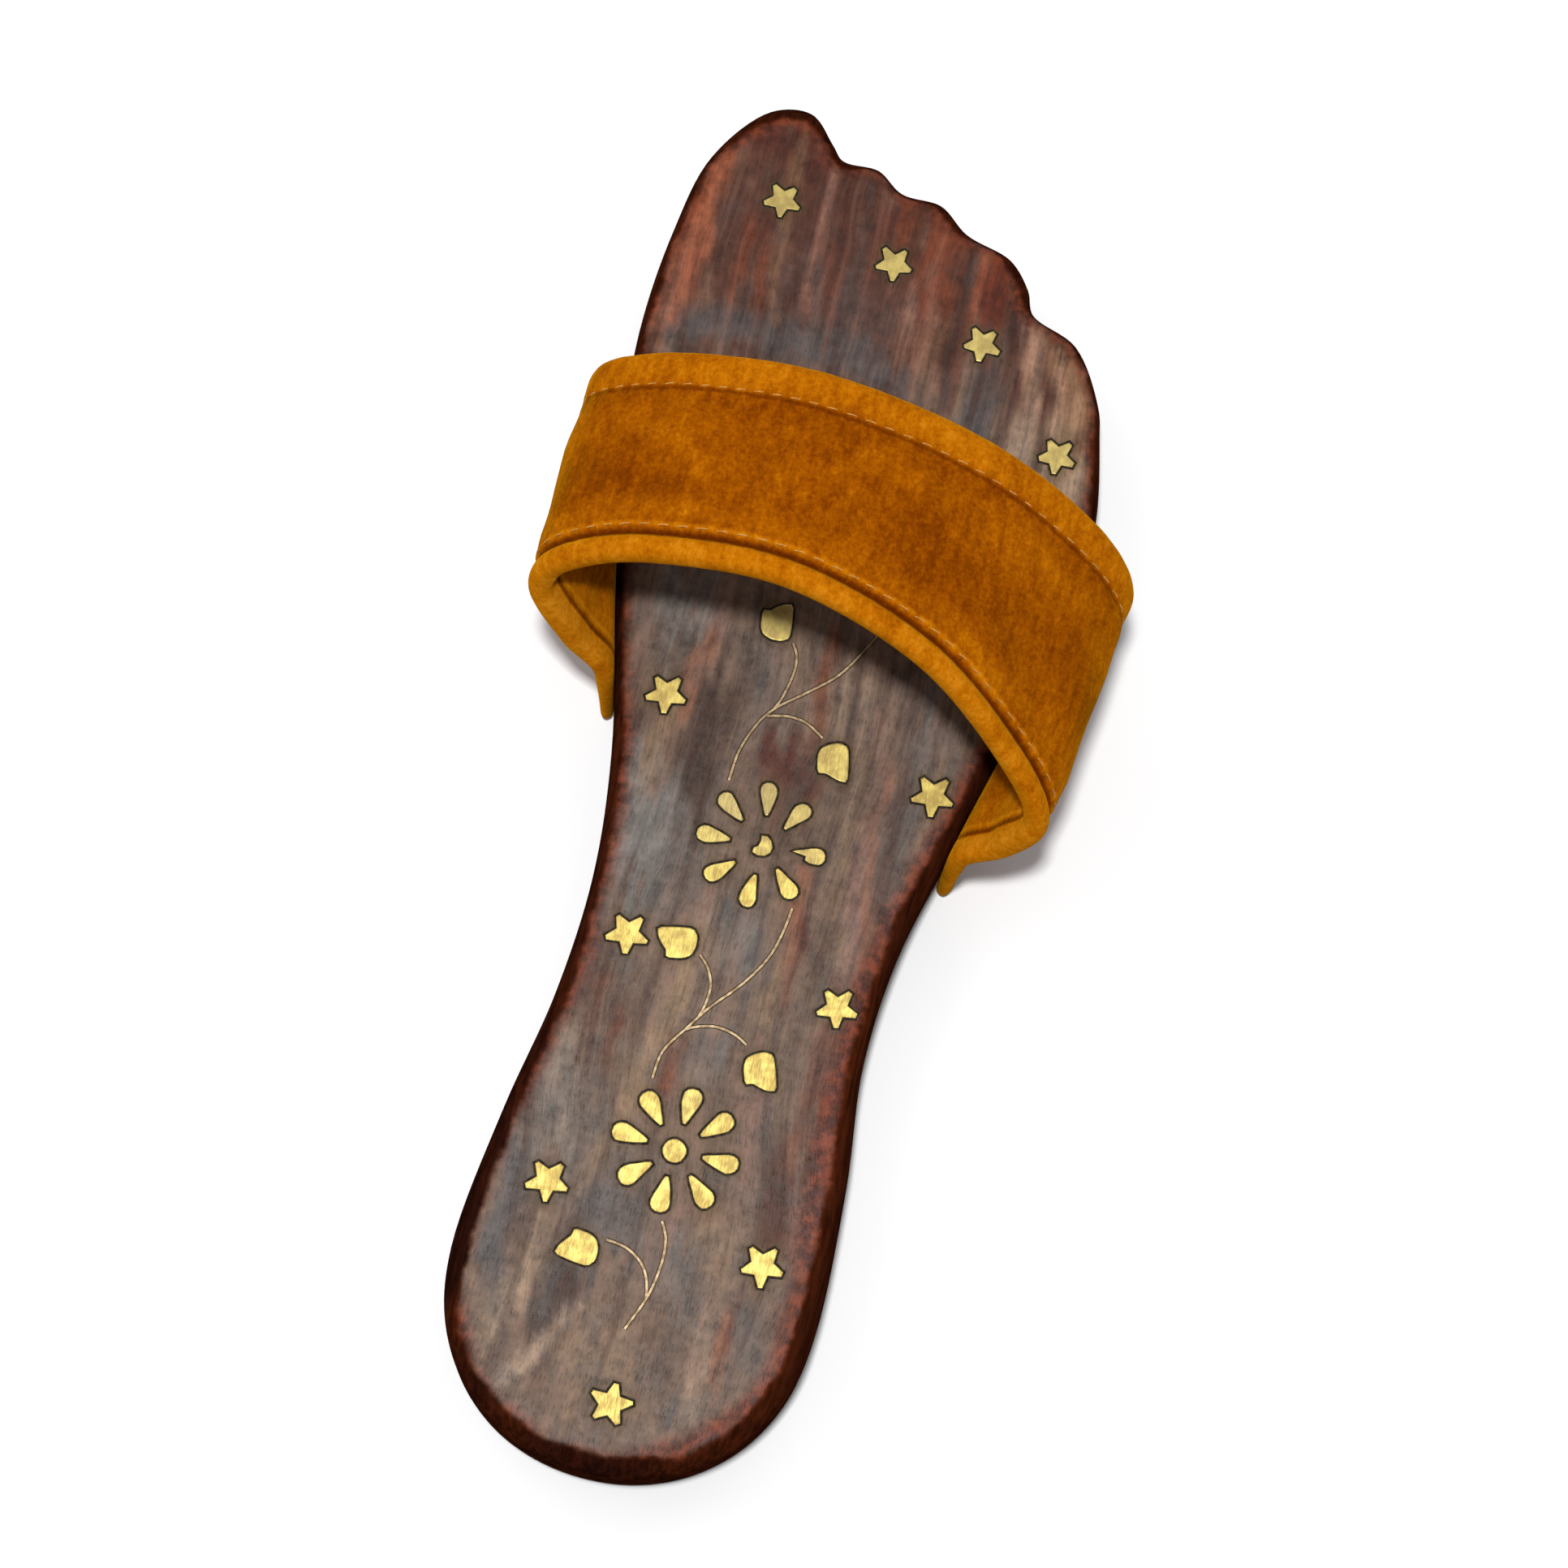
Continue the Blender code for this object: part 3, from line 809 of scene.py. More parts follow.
wire_pieces = []
for name, main, branches in STEMS:
    wire = lay_wire(f"wire_{name}", main)
    for k, route in enumerate(branches, 1):
        branch = lay_wire("branch", route, sink=BRANCH_SINK * k)
        modified(wire, "BOOLEAN", operation="UNION", object=branch, solver="EXACT")
        bpy.data.objects.remove(branch)
    cleaned(wire)
    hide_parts(*STEM_NODES[name])
    wire_pieces.append(wire)
    print(wire.name, "has", len(wire.data.polygons), "faces")

# %% [markdown]
# ## Pockets and lac
#
# The carver sinks a pocket for each piece of brass, fills it with hot dark lac and presses the
# brass in, so a dark rim shows all round, smeared thin at its outer edge. The pockets are cut
# by booleans with plates a little larger than the brass. The grooves of the branches are cut
# a hair less deep than the stems', again so that no two floors lie in one plane.

# %% Cut the pockets
RIM = 0.5
WIRE_RIM = 0.12
FIT = 0.01
POCKET_DEPTH = 1.5
GROOVE_DEPTH = 1.1
BRANCH_STEPS = (0.013, 0.027)
CUTTER_RISE = 0.6


def carve(loops, depth):
    """Sinks pockets of one depth into the sole, by one boolean."""
    cutters = [plate("pocket", loop, THICKNESS - depth, THICKNESS + CUTTER_RISE) for loop in loops]
    cutter = join(cutters, "pocket_cutter")
    modified(sole, "BOOLEAN", operation="DIFFERENCE", object=cutter, solver="EXACT")
    bpy.data.objects.remove(cutter)


GROOVE_WIDTH = WIRE_WIDTH + 2.0 * WIRE_RIM
carve([grown(loop, RIM + FIT) for _, loop in inlays], POCKET_DEPTH)
carve([ribbon(main, GROOVE_WIDTH) for _, main, _ in STEMS], GROOVE_DEPTH)
for k, step in enumerate(BRANCH_STEPS):
    grooves = [ribbon(branches[k], GROOVE_WIDTH) for _, _, branches in STEMS if k < len(branches)]
    carve(grooves, GROOVE_DEPTH - step)
cleaned(sole)
print("the sole with its pockets has", len(sole.data.polygons), "faces")

# %% [markdown]
# Each bed of lac is a plate as large as its pocket. Its top face is drawn in twice, over the
# rim and to the brass, and then pushed down to the well that the brass sits in. Its points
# keep how far they are from the outer edge, where the lac is thin.

# %% Pour the lac
LAC_RISE = 0.01
WELL_DEPTH = BRASS_THICKNESS + 0.1
beds = []
for name, loop in inlays:
    edge = grown(loop, RIM)
    bed = plate("bed", edge, THICKNESS - POCKET_DEPTH + FIT, THICKNESS)
    well = grown(loop, FIT)
    crown(bed, edge, ((grown(loop, RIM / 2.0), THICKNESS + LAC_RISE),
                      (well, THICKNESS + LAC_RISE), (well, THICKNESS - WELL_DEPTH)))
    smear = [min(1.0, min(gaps_to(edge, corner)) / RIM) for corner in bed.data.vertices]
    add_values(bed, "smear", smear)
    beds.append(bed)
lac = join(beds, "lac_beds")
cleaned(lac)
print("the lac has", len(lac.data.polygons), "faces")

# %% [markdown]
# ## The strap
#
# The strap is one padded band of ochre velvet, lined with the same cloth. Its rear edge is a
# rolled binding with a groove and a stitched line before it, and its front edge is a wide hem
# held by a line of stitches. It could be a flat band bent over a shape, but its two edges run
# on different curves. So a grid is laid round it: one side of the grid runs along the strap,
# the other goes round its wall, and the seam where they meet lies inside, on the lining.

# %% Sections of the strap
STRAP_SECTIONS = (
    # rear x, y, z, front x, y, z, thickness; with no x it stands against the sole
    (None, 107.0, 2.0, None, 152.5, 2.0, 2.6),
    (None, 107.5, 11.0, None, 153.3, 11.0, 2.9),
    (None, 108.9, 20.0, None, 155.2, 20.0, 3.6),
    (-41.0, 112.1, 31.0, -44.6, 158.6, 31.0, 4.5),
    (-48.2, 116.7, 44.0, -46.8, 161.9, 42.0, 4.5),
    (-44.0, 120.3, 54.0, -42.2, 163.8, 50.5, 4.5),
    (-28.0, 123.1, 64.0, -26.3, 165.6, 58.5, 4.5),
    (-1.0, 122.7, 70.0, -1.7, 165.4, 63.5, 4.5),
    (26.0, 115.3, 65.0, 28.3, 161.5, 59.0, 4.5),
    (45.5, 103.3, 53.0, 51.4, 153.5, 49.5, 4.5),
    (54.0, 94.9, 42.0, 61.2, 146.4, 39.5, 4.5),
    (49.2, 91.4, 30.0, 57.2, 142.3, 29.5, 4.5),
    (None, 89.2, 20.0, None, 139.0, 20.0, 3.8),
    (None, 88.5, 11.0, None, 137.5, 11.0, 3.2),
    (None, 88.1, 2.0, None, 136.9, 2.0, 3.0),
)
REAR_PROFILE = (
    # ahead of the rear edge, height over the face: binding, groove, stitched line, field
    (0.05, -2.6), (0.0, -1.6), (0.25, -0.85), (0.8, -0.2), (1.7, 0.18), (2.7, 0.22),
    (3.7, 0.05), (4.4, -0.35), (4.9, -1.1), (5.3, -1.1), (5.7, -0.45), (6.3, -0.05),
    (7.0, 0.12), (8.2, 0.12), (10.5, 0.2), (14.0, 0.35), (18.0, 0.45), (22.0, 0.5),
)
FRONT_PROFILE = (
    # behind the front edge, height over the face: field, stitched dip, hem
    (16.0, 0.45), (12.5, 0.34), (9.8, 0.18), (8.2, 0.0), (7.2, -0.30), (6.3, -0.08),
    (5.2, 0.08), (3.6, 0.12), (2.2, 0.05), (1.1, -0.3), (0.35, -0.9), (0.0, -1.6), (0.05, -2.6),
)
STRAP_FULL = 4.5
STRAP_GAP = 0.06
HUG_FADE = 11.0
SECTION_STEPS = 14

# %% [markdown]
# The lowest sections stand against the sole, so they ask the outline where its side is. The
# sections between them follow from one smooth curve for each edge and one for the thickness.

# %% Run of the strap
def wall_x(along, side):
    """The x of the sole's side at a station: side -1 is the inner one, 1 the outer one."""
    crossings = []
    for a, b in zip(outline, outline[1:] + outline[:1]):
        if (a.y - along) * (b.y - along) <= 0.0 and a.y != b.y:
            crossings.append(a.lerp(b, (along - a.y) / (b.y - a.y)).x)
    return min(crossings) if side < 0 else max(crossings)


def hug(z):
    """How closely the strap follows the sole's side: fully up to the footbed, then less."""
    rise = min(max((z - THICKNESS) / HUG_FADE, 0.0), 1.0)
    return 1.0 - rise * rise * (3.0 - 2.0 * rise)


rows = []
for k, (rear_x, rear_y, rear_z, front_x, front_y, front_z, wall) in enumerate(STRAP_SECTIONS):
    if rear_x is None:
        side = -1 if k < len(STRAP_SECTIONS) // 2 else 1
        rear_x = wall_x(rear_y, side) + side * (STRAP_GAP + wall)
        front_x = wall_x(front_y, side) + side * (STRAP_GAP + wall)
    rows.append((Vector((rear_x, rear_y, rear_z)), Vector((front_x, front_y, front_z)),
                 Vector((wall, 0.0))))
rears, fronts, walls = (open_curve(row, SECTION_STEPS) for row in zip(*rows))
LAST = len(rears) - 1
middles = [(rear + front) / 2.0 for rear, front in zip(rears, fronts)]
reach = [0.0]
for a, b in zip(middles, middles[1:]):
    reach.append(reach[-1] + (b - a).length)
STRAP_LENGTH = reach[-1]
print("the strap is", round(STRAP_LENGTH, 1), "mm long and has", LAST, "spans")

# %% [markdown]
# A point of the strap is given as a tailor would: how far along, how far from an edge, and how
# high over the face. Beside the sole it is pulled against the sole's side.

# %% Points of the strap
def strap_frame(i):
    """The width and wall of section i, and the ways across it and outwards."""
    before, after = max(i - 1, 0), min(i + 1, LAST)
    run = middles[after] - middles[before]
    across = (fronts[i] - rears[i]).normalized()
    return (fronts[i] - rears[i]).length, walls[i].x, across, run.cross(across).normalized()


def strap_point(i, distance, height):
    """A point of the strap: how far ahead of the rear edge and how high over the face."""
    _, wall, across, outward = strap_frame(i)
    point = rears[i] + across * distance + outward * height
    side = -1 if i < LAST / 2 else 1
    beside = wall_x(point.y, side) + side * (STRAP_GAP + wall + height)
    point.x += (beside - point.x) * hug(point.z)
    return point


# %% [markdown]
# Every point of the grid keeps where it lies on the strap: how far along it, how far from its
# rear and its front edge, and whether it is lining. Its waves and its colours follow that.

# %% Bend the grid round the strap
STRAP_VALUES = ("along", "from_rear", "from_front", "lining")
LINING_POINTS = 18
LINING_INSET = 0.7


def strap_ring(width, wall):
    """Points round the wall: distance from the rear edge, height, and 1 for lining."""
    share = wall / STRAP_FULL
    face = [(ahead, height * share, 0.0) for ahead, height in REAR_PROFILE]
    face += [(width - behind, height * share, 0.0) for behind, height in FRONT_PROFILE]
    lining = []
    for k in range(LINING_POINTS + 1):
        distance = width - LINING_INSET + (2.0 * LINING_INSET - width) * k / LINING_POINTS
        lining.append((distance, -wall, 1.0))
    half = len(lining) // 2
    return lining[half:] + face + lining[:half + 1]


places, kept = [], []
for i in range(LAST + 1):
    width, wall, _, _ = strap_frame(i)
    ring = strap_ring(width, wall)
    places += [strap_point(i, distance, height) for distance, height, _ in ring]
    kept += [(reach[i], distance, width - distance, inside) for distance, _, inside in ring]
deselect()
bpy.ops.mesh.primitive_grid_add(x_subdivisions=len(ring) - 1, y_subdivisions=LAST, size=0.1)
strap = named("velvet_strap")
move_points(strap, np.array(places))
for name, values in zip(STRAP_VALUES, zip(*kept)):
    add_values(strap, name, values)
print("the strap's grid has", len(strap.data.vertices), "points")

# %% [markdown]
# Merging doubles sews the two sides of the grid together. The open ends of the tube are then
# filled, and one subdivision rounds the whole band.

# %% Close the seam and the ends
cleaned(strap)
edit(strap, "DESELECT", "EDGE")
bpy.ops.mesh.select_non_manifold()
bpy.ops.mesh.edge_face_add()
bpy.ops.mesh.quads_convert_to_tris(quad_method="BEAUTY", ngon_method="BEAUTY")
turn_faces_out()
modified(strap, "SUBSURF", levels=1, render_levels=1)
print("the strap has", len(strap.data.polygons), "faces")

# %% [markdown]
# Padded cloth is never smooth. The thread pulls it down at each stitch and it swells between
# them, the hem ripples, and the field rolls in long soft waves where the padding lies uneven.
# Each point is moved along its own normal by a height worked out from where it is on the strap.

# %% Puckers and waves
STITCH_PITCH = 3.6
FRONT_LINE = 7.2
REAR_LINE = 6.6
PUCKER = 0.16


def bell(distance, width):
    """1 at no distance, falling softly to 0 within about two widths."""
    return np.exp(-(distance / width) ** 2)


def cloth_waves(along, across, count, shortest, longest, seed):
    """A sum of soft waves of mixed length and direction, from -1 to 1."""
    draw = random.Random(seed)
    total = np.zeros_like(along)
    for _ in range(count):
        length = draw.uniform(shortest, longest)
        heading = draw.uniform(0.0, math.tau)
        phase = draw.uniform(0.0, math.tau)
        step = along * math.cos(heading) + across * math.sin(heading)
        total += np.sin(math.tau * step / length + phase)
    return total / math.sqrt(count)


# %% [markdown]
# The four kinds of wave are long ones and short ones in the field, and ripples in the hem and
# in the binding. Near the sole and at its ends the strap is held, so there the cloth is calm.

# %% Height of the cloth
def strap_relief(along, rear, front):
    """How far the cloth stands over its even face, in millimetres."""
    beat = np.cos(math.tau * along / STITCH_PITCH)
    relief = -PUCKER * beat * bell(front - FRONT_LINE, 1.8)
    relief -= PUCKER * beat * bell(rear - REAR_LINE, 1.4)
    field = np.clip(np.minimum(rear - 6.0, front - 7.0) / 6.0, 0.0, 1.0)
    hem = bell(front - 3.2, 3.0)
    binding = bell(rear - 2.4, 2.0)
    for height, place, count, shortest, longest, seed in (
        # height, where it shows, number of waves, shortest, longest, seed
        (0.32, field, 7, 16.0, 34.0, 3),
        (0.07, field, 9, 5.0, 10.0, 4),
        (0.09, hem, 6, 5.0, 11.0, 5),
        (0.07, binding, 6, 6.0, 14.0, 6),
    ):
        relief += height * place * cloth_waves(along, rear, count, shortest, longest, seed)
    return relief


# %% Move the cloth
LINING_WAVE = 0.12
CALM_HEIGHT = 22.0
CALM_FADE = 8.0
END_CALM = 25.0
normals = np.zeros(len(strap.data.vertices) * 3)
strap.data.vertices.foreach_get("normal", normals)
normals = normals.reshape(-1, 3)
along, rear, front, lining = (read_values(strap, name) for name in STRAP_VALUES)
relief = strap_relief(along, rear, front)
wrinkles = LINING_WAVE * cloth_waves(along, rear * 0.6, 8, 7.0, 18.0, 7)
relief = np.where(lining > 0.5, wrinkles, relief * (1.0 - lining))
ends = np.clip(np.minimum(along, STRAP_LENGTH - along) / END_CALM, 0.0, 1.0)
low = np.clip((coordinates(strap)[:, 2] - CALM_HEIGHT) / CALM_FADE, 0.0, 1.0)
relief = np.where(relief < 0.0, relief * low * ends, relief * ends)
move_points(strap, coordinates(strap) + normals * (relief * low)[:, None])
print("the cloth stands", round(relief.min(), 2), "to", round(relief.max(), 2), "mm over its face")

# %% [markdown]
# ## The stitches
#
# Two lines of thick pale thread hold the hem and the binding. A stitch is a short thread whose
# ends dive into the cloth. One is modelled from a small sphere, and each copy gets its own
# mesh, turned to the strap at its place.

# %% One stitch
STITCH_LENGTH = 3.1
STITCH_WIDTH = 0.32
STITCH_FLATNESS = 0.8
STITCH_DIVE = 0.28
STITCH_SLANT = 0.07
deselect()
bpy.ops.mesh.primitive_uv_sphere_add(segments=8, ring_count=7, radius=0.5 * MM)
stitch = named("stitch")
stitch.data.transform(Matrix.Rotation(math.radians(90.0), 4, "Y"))
points = coordinates(stitch)
points[:, 0] *= STITCH_LENGTH
points[:, 1] *= STITCH_WIDTH
points[:, 2] *= STITCH_WIDTH * STITCH_FLATNESS
points[:, 2] -= STITCH_DIVE * (points[:, 0] / STITCH_LENGTH * 2.0) ** 2
points[:, 1] += STITCH_SLANT * points[:, 0]
move_points(stitch, points)
print("a stitch has", len(stitch.data.polygons), "faces")

# %% [markdown]
# Each stitch finds the two sections that it lies between. It points from one to the other,
# turned and shifted by a hair, as hand sewing is.

# %% Sew the two lines
STITCH_LINES = (
    # edge that the line follows, distance from it, height over the face
    ("front", FRONT_LINE, -0.20),
    ("rear", REAR_LINE, 0.08),
)
LINE_MARGIN = 2.0
STITCH_SHIFT = 0.12
STITCH_TURN = 0.05


def place_stitch(name, along, edge, line, rise):
    """A copy of the stitch on the strap, at a distance along it and from one of its edges."""
    i = int(np.searchsorted(reach, along))
    share = (along - reach[i - 1]) / (reach[i] - reach[i - 1])
    ends = []
    for k in (i - 1, i):
        width, wall, across, _ = strap_frame(k)
        distance = line if edge == "rear" else width - line
        ends.append(strap_point(k, distance, rise * wall / STRAP_FULL))
    place = ends[0].lerp(ends[1], share)
    run = (ends[1] - ends[0]).normalized()
    across = (across - run * across.dot(run)).normalized()
    outward = run.cross(across)
    copy = stitch.copy()
    copy.data = stitch.data.copy()
    copy.name = name
    bpy.context.scene.collection.objects.link(copy)
    turn = Matrix((run, across, outward)).transposed().to_4x4()
    wobble = Matrix.Rotation(chance.uniform(-STITCH_TURN, STITCH_TURN), 4, "Z")
    copy.data.transform(Matrix.Translation(place * MM) @ turn @ wobble)
    return copy


threads = []
count = int((STRAP_LENGTH - 2.0 * LINE_MARGIN) / STITCH_PITCH)
for edge, line, rise in STITCH_LINES:
    sewn = []
    for k in range(count):
        along = LINE_MARGIN + STITCH_PITCH * (k + 0.5)
        along += chance.uniform(-STITCH_SHIFT, STITCH_SHIFT)
        sewn.append(place_stitch(f"stitch_{k}", along, edge, line, rise))
    threads.append(join(sewn, f"{edge}_stitches"))
    print(edge, "line has", count, "stitches")
bpy.data.objects.remove(stitch)

# %% [markdown]
# ## Finishes
#
# Every finish is made of nodes that read Object coordinates, turned to millimetres, or the
# values kept at the points of a piece. A class holds the material and short ways to add a
# node, so a finish reads as a few sums instead of a page of sockets and links.

# %% Node helpers
class Finish:
    """A material with its Principled shader and short ways to add nodes."""

    def __init__(self, name, **sockets):
        self.material = bpy.data.materials.new(name)
        self.material.use_nodes = True
        self.tree = self.material.node_tree
        self.shader = self.tree.nodes["Principled BSDF"]
        self.give(**sockets)
        place = self.node("ShaderNodeTexCoord").outputs["Object"]
        self.place = self.stretched(place, (1000.0, 1000.0, 1000.0))

    def feed(self, socket, value):
        """Links an output to a socket, or sets the socket's own value."""
        if isinstance(value, bpy.types.NodeSocket):
            self.tree.links.new(value, socket)
        else:
            socket.default_value = value

    def give(self, **sockets):
        """Feeds the shader's sockets, with _ for each space in a socket's name."""
        for name, value in sockets.items():
            self.feed(self.shader.inputs[name.replace("_", " ")], value)

    def node(self, kind, **settings):
        """Adds a node with its settings."""
        node = self.tree.nodes.new(kind)
        for key, value in settings.items():
            setattr(node, key, value)
        return node

    def stretched(self, vector, scale, turn=0.0):
        """A vector scaled along its three ways, and turned about Z."""
        node = self.node("ShaderNodeMapping")
        self.feed(node.inputs["Vector"], vector)
        node.inputs["Scale"].default_value = scale
        node.inputs["Rotation"].default_value = (0.0, 0.0, turn)
        return node.outputs["Vector"]

    def value(self, name):
        """The number kept at each point under a name."""
        return self.node("ShaderNodeAttribute", attribute_name=name).outputs["Fac"]

    def vector(self, x, y, z):
        """Three numbers as one vector."""
        node = self.node("ShaderNodeCombineXYZ")
        for socket, value in zip(node.inputs, (x, y, z)):
            self.feed(socket, value)
        return node.outputs["Vector"]

    def worked_out(self, kind, a, b=0.0):
        """One sum of two numbers, of any kind that a Math node knows."""
        node = self.node("ShaderNodeMath", operation=kind)
        self.feed(node.inputs[0], a)
        self.feed(node.inputs[1], b)
        return node.outputs["Value"]

    def plus(self, a, b):
        return self.worked_out("ADD", a, b)

    def times(self, a, b):
        return self.worked_out("MULTIPLY", a, b)

    def swing(self, noise, amount):
        """A noise about zero instead of about a half, times an amount."""
        return self.times(self.plus(noise, -0.5), amount)

    def span(self, value, low, high, start=0.0, end=1.0):
        """Runs smoothly from start to end while the value runs from low to high."""
        node = self.node("ShaderNodeMapRange", interpolation_type="SMOOTHSTEP")
        for socket, number in zip(node.inputs, (value, low, high, start, end)):
            self.feed(socket, number)
        return node.outputs["Result"]

    def bump_at(self, value, centre, width):
        """1 where the value is at the centre, falling to 0 a width away."""
        away = self.worked_out("ABSOLUTE", self.plus(value, -centre))
        return self.span(away, 0.0, width, 1.0, 0.0)

    def noise(self, vector, scale, detail=3.0, rough=0.5, warp=0.0):
        """Soft random tones from 0 to 1; the larger the scale, the finer."""
        node = self.node("ShaderNodeTexNoise")
        for socket, value in (("Vector", vector), ("Scale", scale), ("Detail", detail),
                              ("Roughness", rough), ("Distortion", warp)):
            self.feed(node.inputs[socket], value)
        return node.outputs["Fac"]

    def mixed(self, share, first, second):
        """One colour turning into another by a share."""
        node = self.node("ShaderNodeMix", data_type="RGBA")
        self.feed(node.inputs["Factor"], share)
        for socket, colour in zip(node.inputs[6:8], (first, second)):
            whole = isinstance(colour, bpy.types.NodeSocket)
            self.feed(socket, colour if whole else (*colour, 1.0))
        return node.outputs[2]

    def patchy(self, noise, first, second):
        """Two colours in the soft patches of a noise."""
        return self.mixed(self.span(noise, 0.35, 0.65), first, second)

    def scaled(self, colour, factor):
        """A colour made lighter or darker by a number or by three numbers."""
        several = isinstance(factor, tuple)
        node = self.node("ShaderNodeVectorMath", operation="MULTIPLY" if several else "SCALE")
        self.feed(node.inputs[0], colour)
        self.feed(node.inputs[1 if several else "Scale"], factor)
        return node.outputs["Vector"]

    def ramp(self, value, *stops):
        """A smooth run of colours: each stop is a place and a colour."""
        node = self.node("ShaderNodeValToRGB")
        self.feed(node.inputs["Fac"], value)
        elements = node.color_ramp.elements
        while len(elements) < len(stops):
            elements.new(0.5)
        for element, (place, colour) in zip(elements, stops):
            element.position = place
            element.color = (*colour, 1.0)
        return node.outputs["Color"]

    def relief(self, height, depth_mm, under=None):
        """Adds bump of a real depth to what is already there."""
        node = self.node("ShaderNodeBump")
        node.inputs["Distance"].default_value = depth_mm * MM
        self.feed(node.inputs["Height"], height)
        if under is not None:
            self.feed(node.inputs["Normal"], under)
        return node.outputs["Normal"]

    def dress(self, pieces):
        """Gives the material to pieces."""
        for piece in pieces:
            piece.data.materials.clear()
            piece.data.materials.append(self.material)


# %% [markdown]
# ### Rosewood
#
# Indian rosewood is grey-brown to dark purple-brown, with red and tan figure that runs along
# the plank. Noise stretched along Y makes the grain and short dark dashes are the pores. The
# edges are painted nearly black, stain together with painted shade of the rounded edge and the
# wall, and glow red where the dark thins out, so each point of the sole keeps its distance
# from the outline.

# %% Distance from the edge
def distance_from_loop(points, loop):
    """How far each point lies from a closed loop, in millimetres."""
    starts = np.array([tuple(p) for p in loop])
    steps = np.roll(starts, -1, axis=0) - starts
    lengths = (steps ** 2).sum(1)
    nearest = np.full(len(points), 1e9)
    for start, step, length in zip(starts, steps, lengths):
        share = np.clip(((points - start) @ step) / length, 0.0, 1.0)
        gap = points - (start + share[:, None] * step)
        nearest = np.minimum(nearest, (gap ** 2).sum(1))
    return np.sqrt(nearest)


# %% Places along the edge of stain and painted shade
EDGE_STAIN_AND_SHADE = (
    # x, along, width of the dark edge, where its red fringe ends, how red the dark edge is
    (-34, 0, 3.9, 2.9, 0.0), (-31, -18, 2.6, 3.9, 0.8), (-26, -26, 3.4, 2.8, 0.1),
    (-18, -32, 3.3, 4.3, 0.8), (-9, -35, 3.7, 3.0, 0.0), (0, -36, 4.1, 3.5, 0.0),
    (10, -36, 4.3, 5.4, 0.3), (19, -33, 2.6, 6.4, 0.8), (27, -27, 3.5, 7.0, 0.8),
    (33, -14, 4.2, 5.6, 0.8), (36, 6, 4.2, 5.6, 0.8), (36, 20, 3.9, 7.4, 0.8),
    (34, 34, 3.4, 7.2, 0.9), (33, 56, 2.8, 5.0, 1.0), (34, 68, 2.6, 5.4, 0.9),
    (38, 80, 3.6, 5.0, 0.6), (46, 100, 3.0, 4.4, 0.6), (52, 170, 2.2, 2.9, 0.7),
    (45, 190, 1.3, 1.8, 0.9), (33, 202, 1.5, 2.2, 0.6), (26, 209, 2.5, 3.4, 0.6),
    (20, 212, 1.4, 1.8, 0.8), (12, 217, 2.2, 2.9, 0.7), (0, 221, 1.5, 1.9, 0.6),
    (-14, 226, 2.3, 2.8, 0.5), (-25, 230, 3.3, 4.4, 0.4), (-31, 226, 2.4, 3.6, 0.8),
    (-37, 216, 1.6, 2.1, 0.7), (-40, 200, 1.7, 2.3, 0.7), (-42, 180, 1.8, 2.3, 0.6),
    (-31, 112, 1.9, 2.6, 0.5), (-27, 92, 2.3, 3.6, 0.8), (-26, 68, 2.2, 3.3, 0.5),
    (-27, 50, 2.7, 3.4, 0.4), (-30, 32, 2.9, 3.8, 0.3), (-32, 20, 3.5, 2.8, 0.0),
)
EDGE_BLUR = 3.0
points = coordinates(sole)[:, :2]
add_values(sole, "rim", distance_from_loop(points, outline))
# Each point keeps the width of its dark edge, stain and painted shade together, and its red
# fringe.
edge_table = np.array(EDGE_STAIN_AND_SHADE, dtype=float)
away = ((points[:, None, :] - edge_table[None, :, :2]) ** 2).sum(2)
nearness = 1.0 / (away + EDGE_BLUR ** 2) ** 2
nearness /= nearness.sum(1)[:, None]
for column, name in ((2, "stain_and_shade"), (3, "fringe"), (4, "redness")):
    add_values(sole, name, nearness @ edge_table[:, column])
print(len(EDGE_STAIN_AND_SHADE), "places measured along the stained edge")

# %% [markdown]
# The figure is painted on the points of the sole, one soft streak or patch after another, the
# way a grainer paints wood. First come the tones on the palette, then a table of strokes for
# each part of the footbed: each row is a run of colour with its ends faded out. Noise alone
# would be quicker, but it gives any plank of rosewood, and this one has its own figure.

# %% Tones of the wood
SLATE = (0.088, 0.076, 0.068)
STEEL = (0.052, 0.049, 0.049)
UMBER = (0.042, 0.025, 0.019)
ASH = (0.128, 0.116, 0.104)
BROWN = (0.104, 0.066, 0.046)
PLUM = (0.050, 0.020, 0.013)
DARK = (0.026, 0.012, 0.008)
WINE = (0.052, 0.010, 0.005)
RUST = (0.105, 0.028, 0.010)
PINK = (0.150, 0.084, 0.062)
SALMON = (0.185, 0.068, 0.034)
TAN = (0.165, 0.104, 0.060)
PALE = (0.225, 0.155, 0.108)
EMBER = (0.085, 0.016, 0.004)
OLIVE = (0.060, 0.036, 0.010)

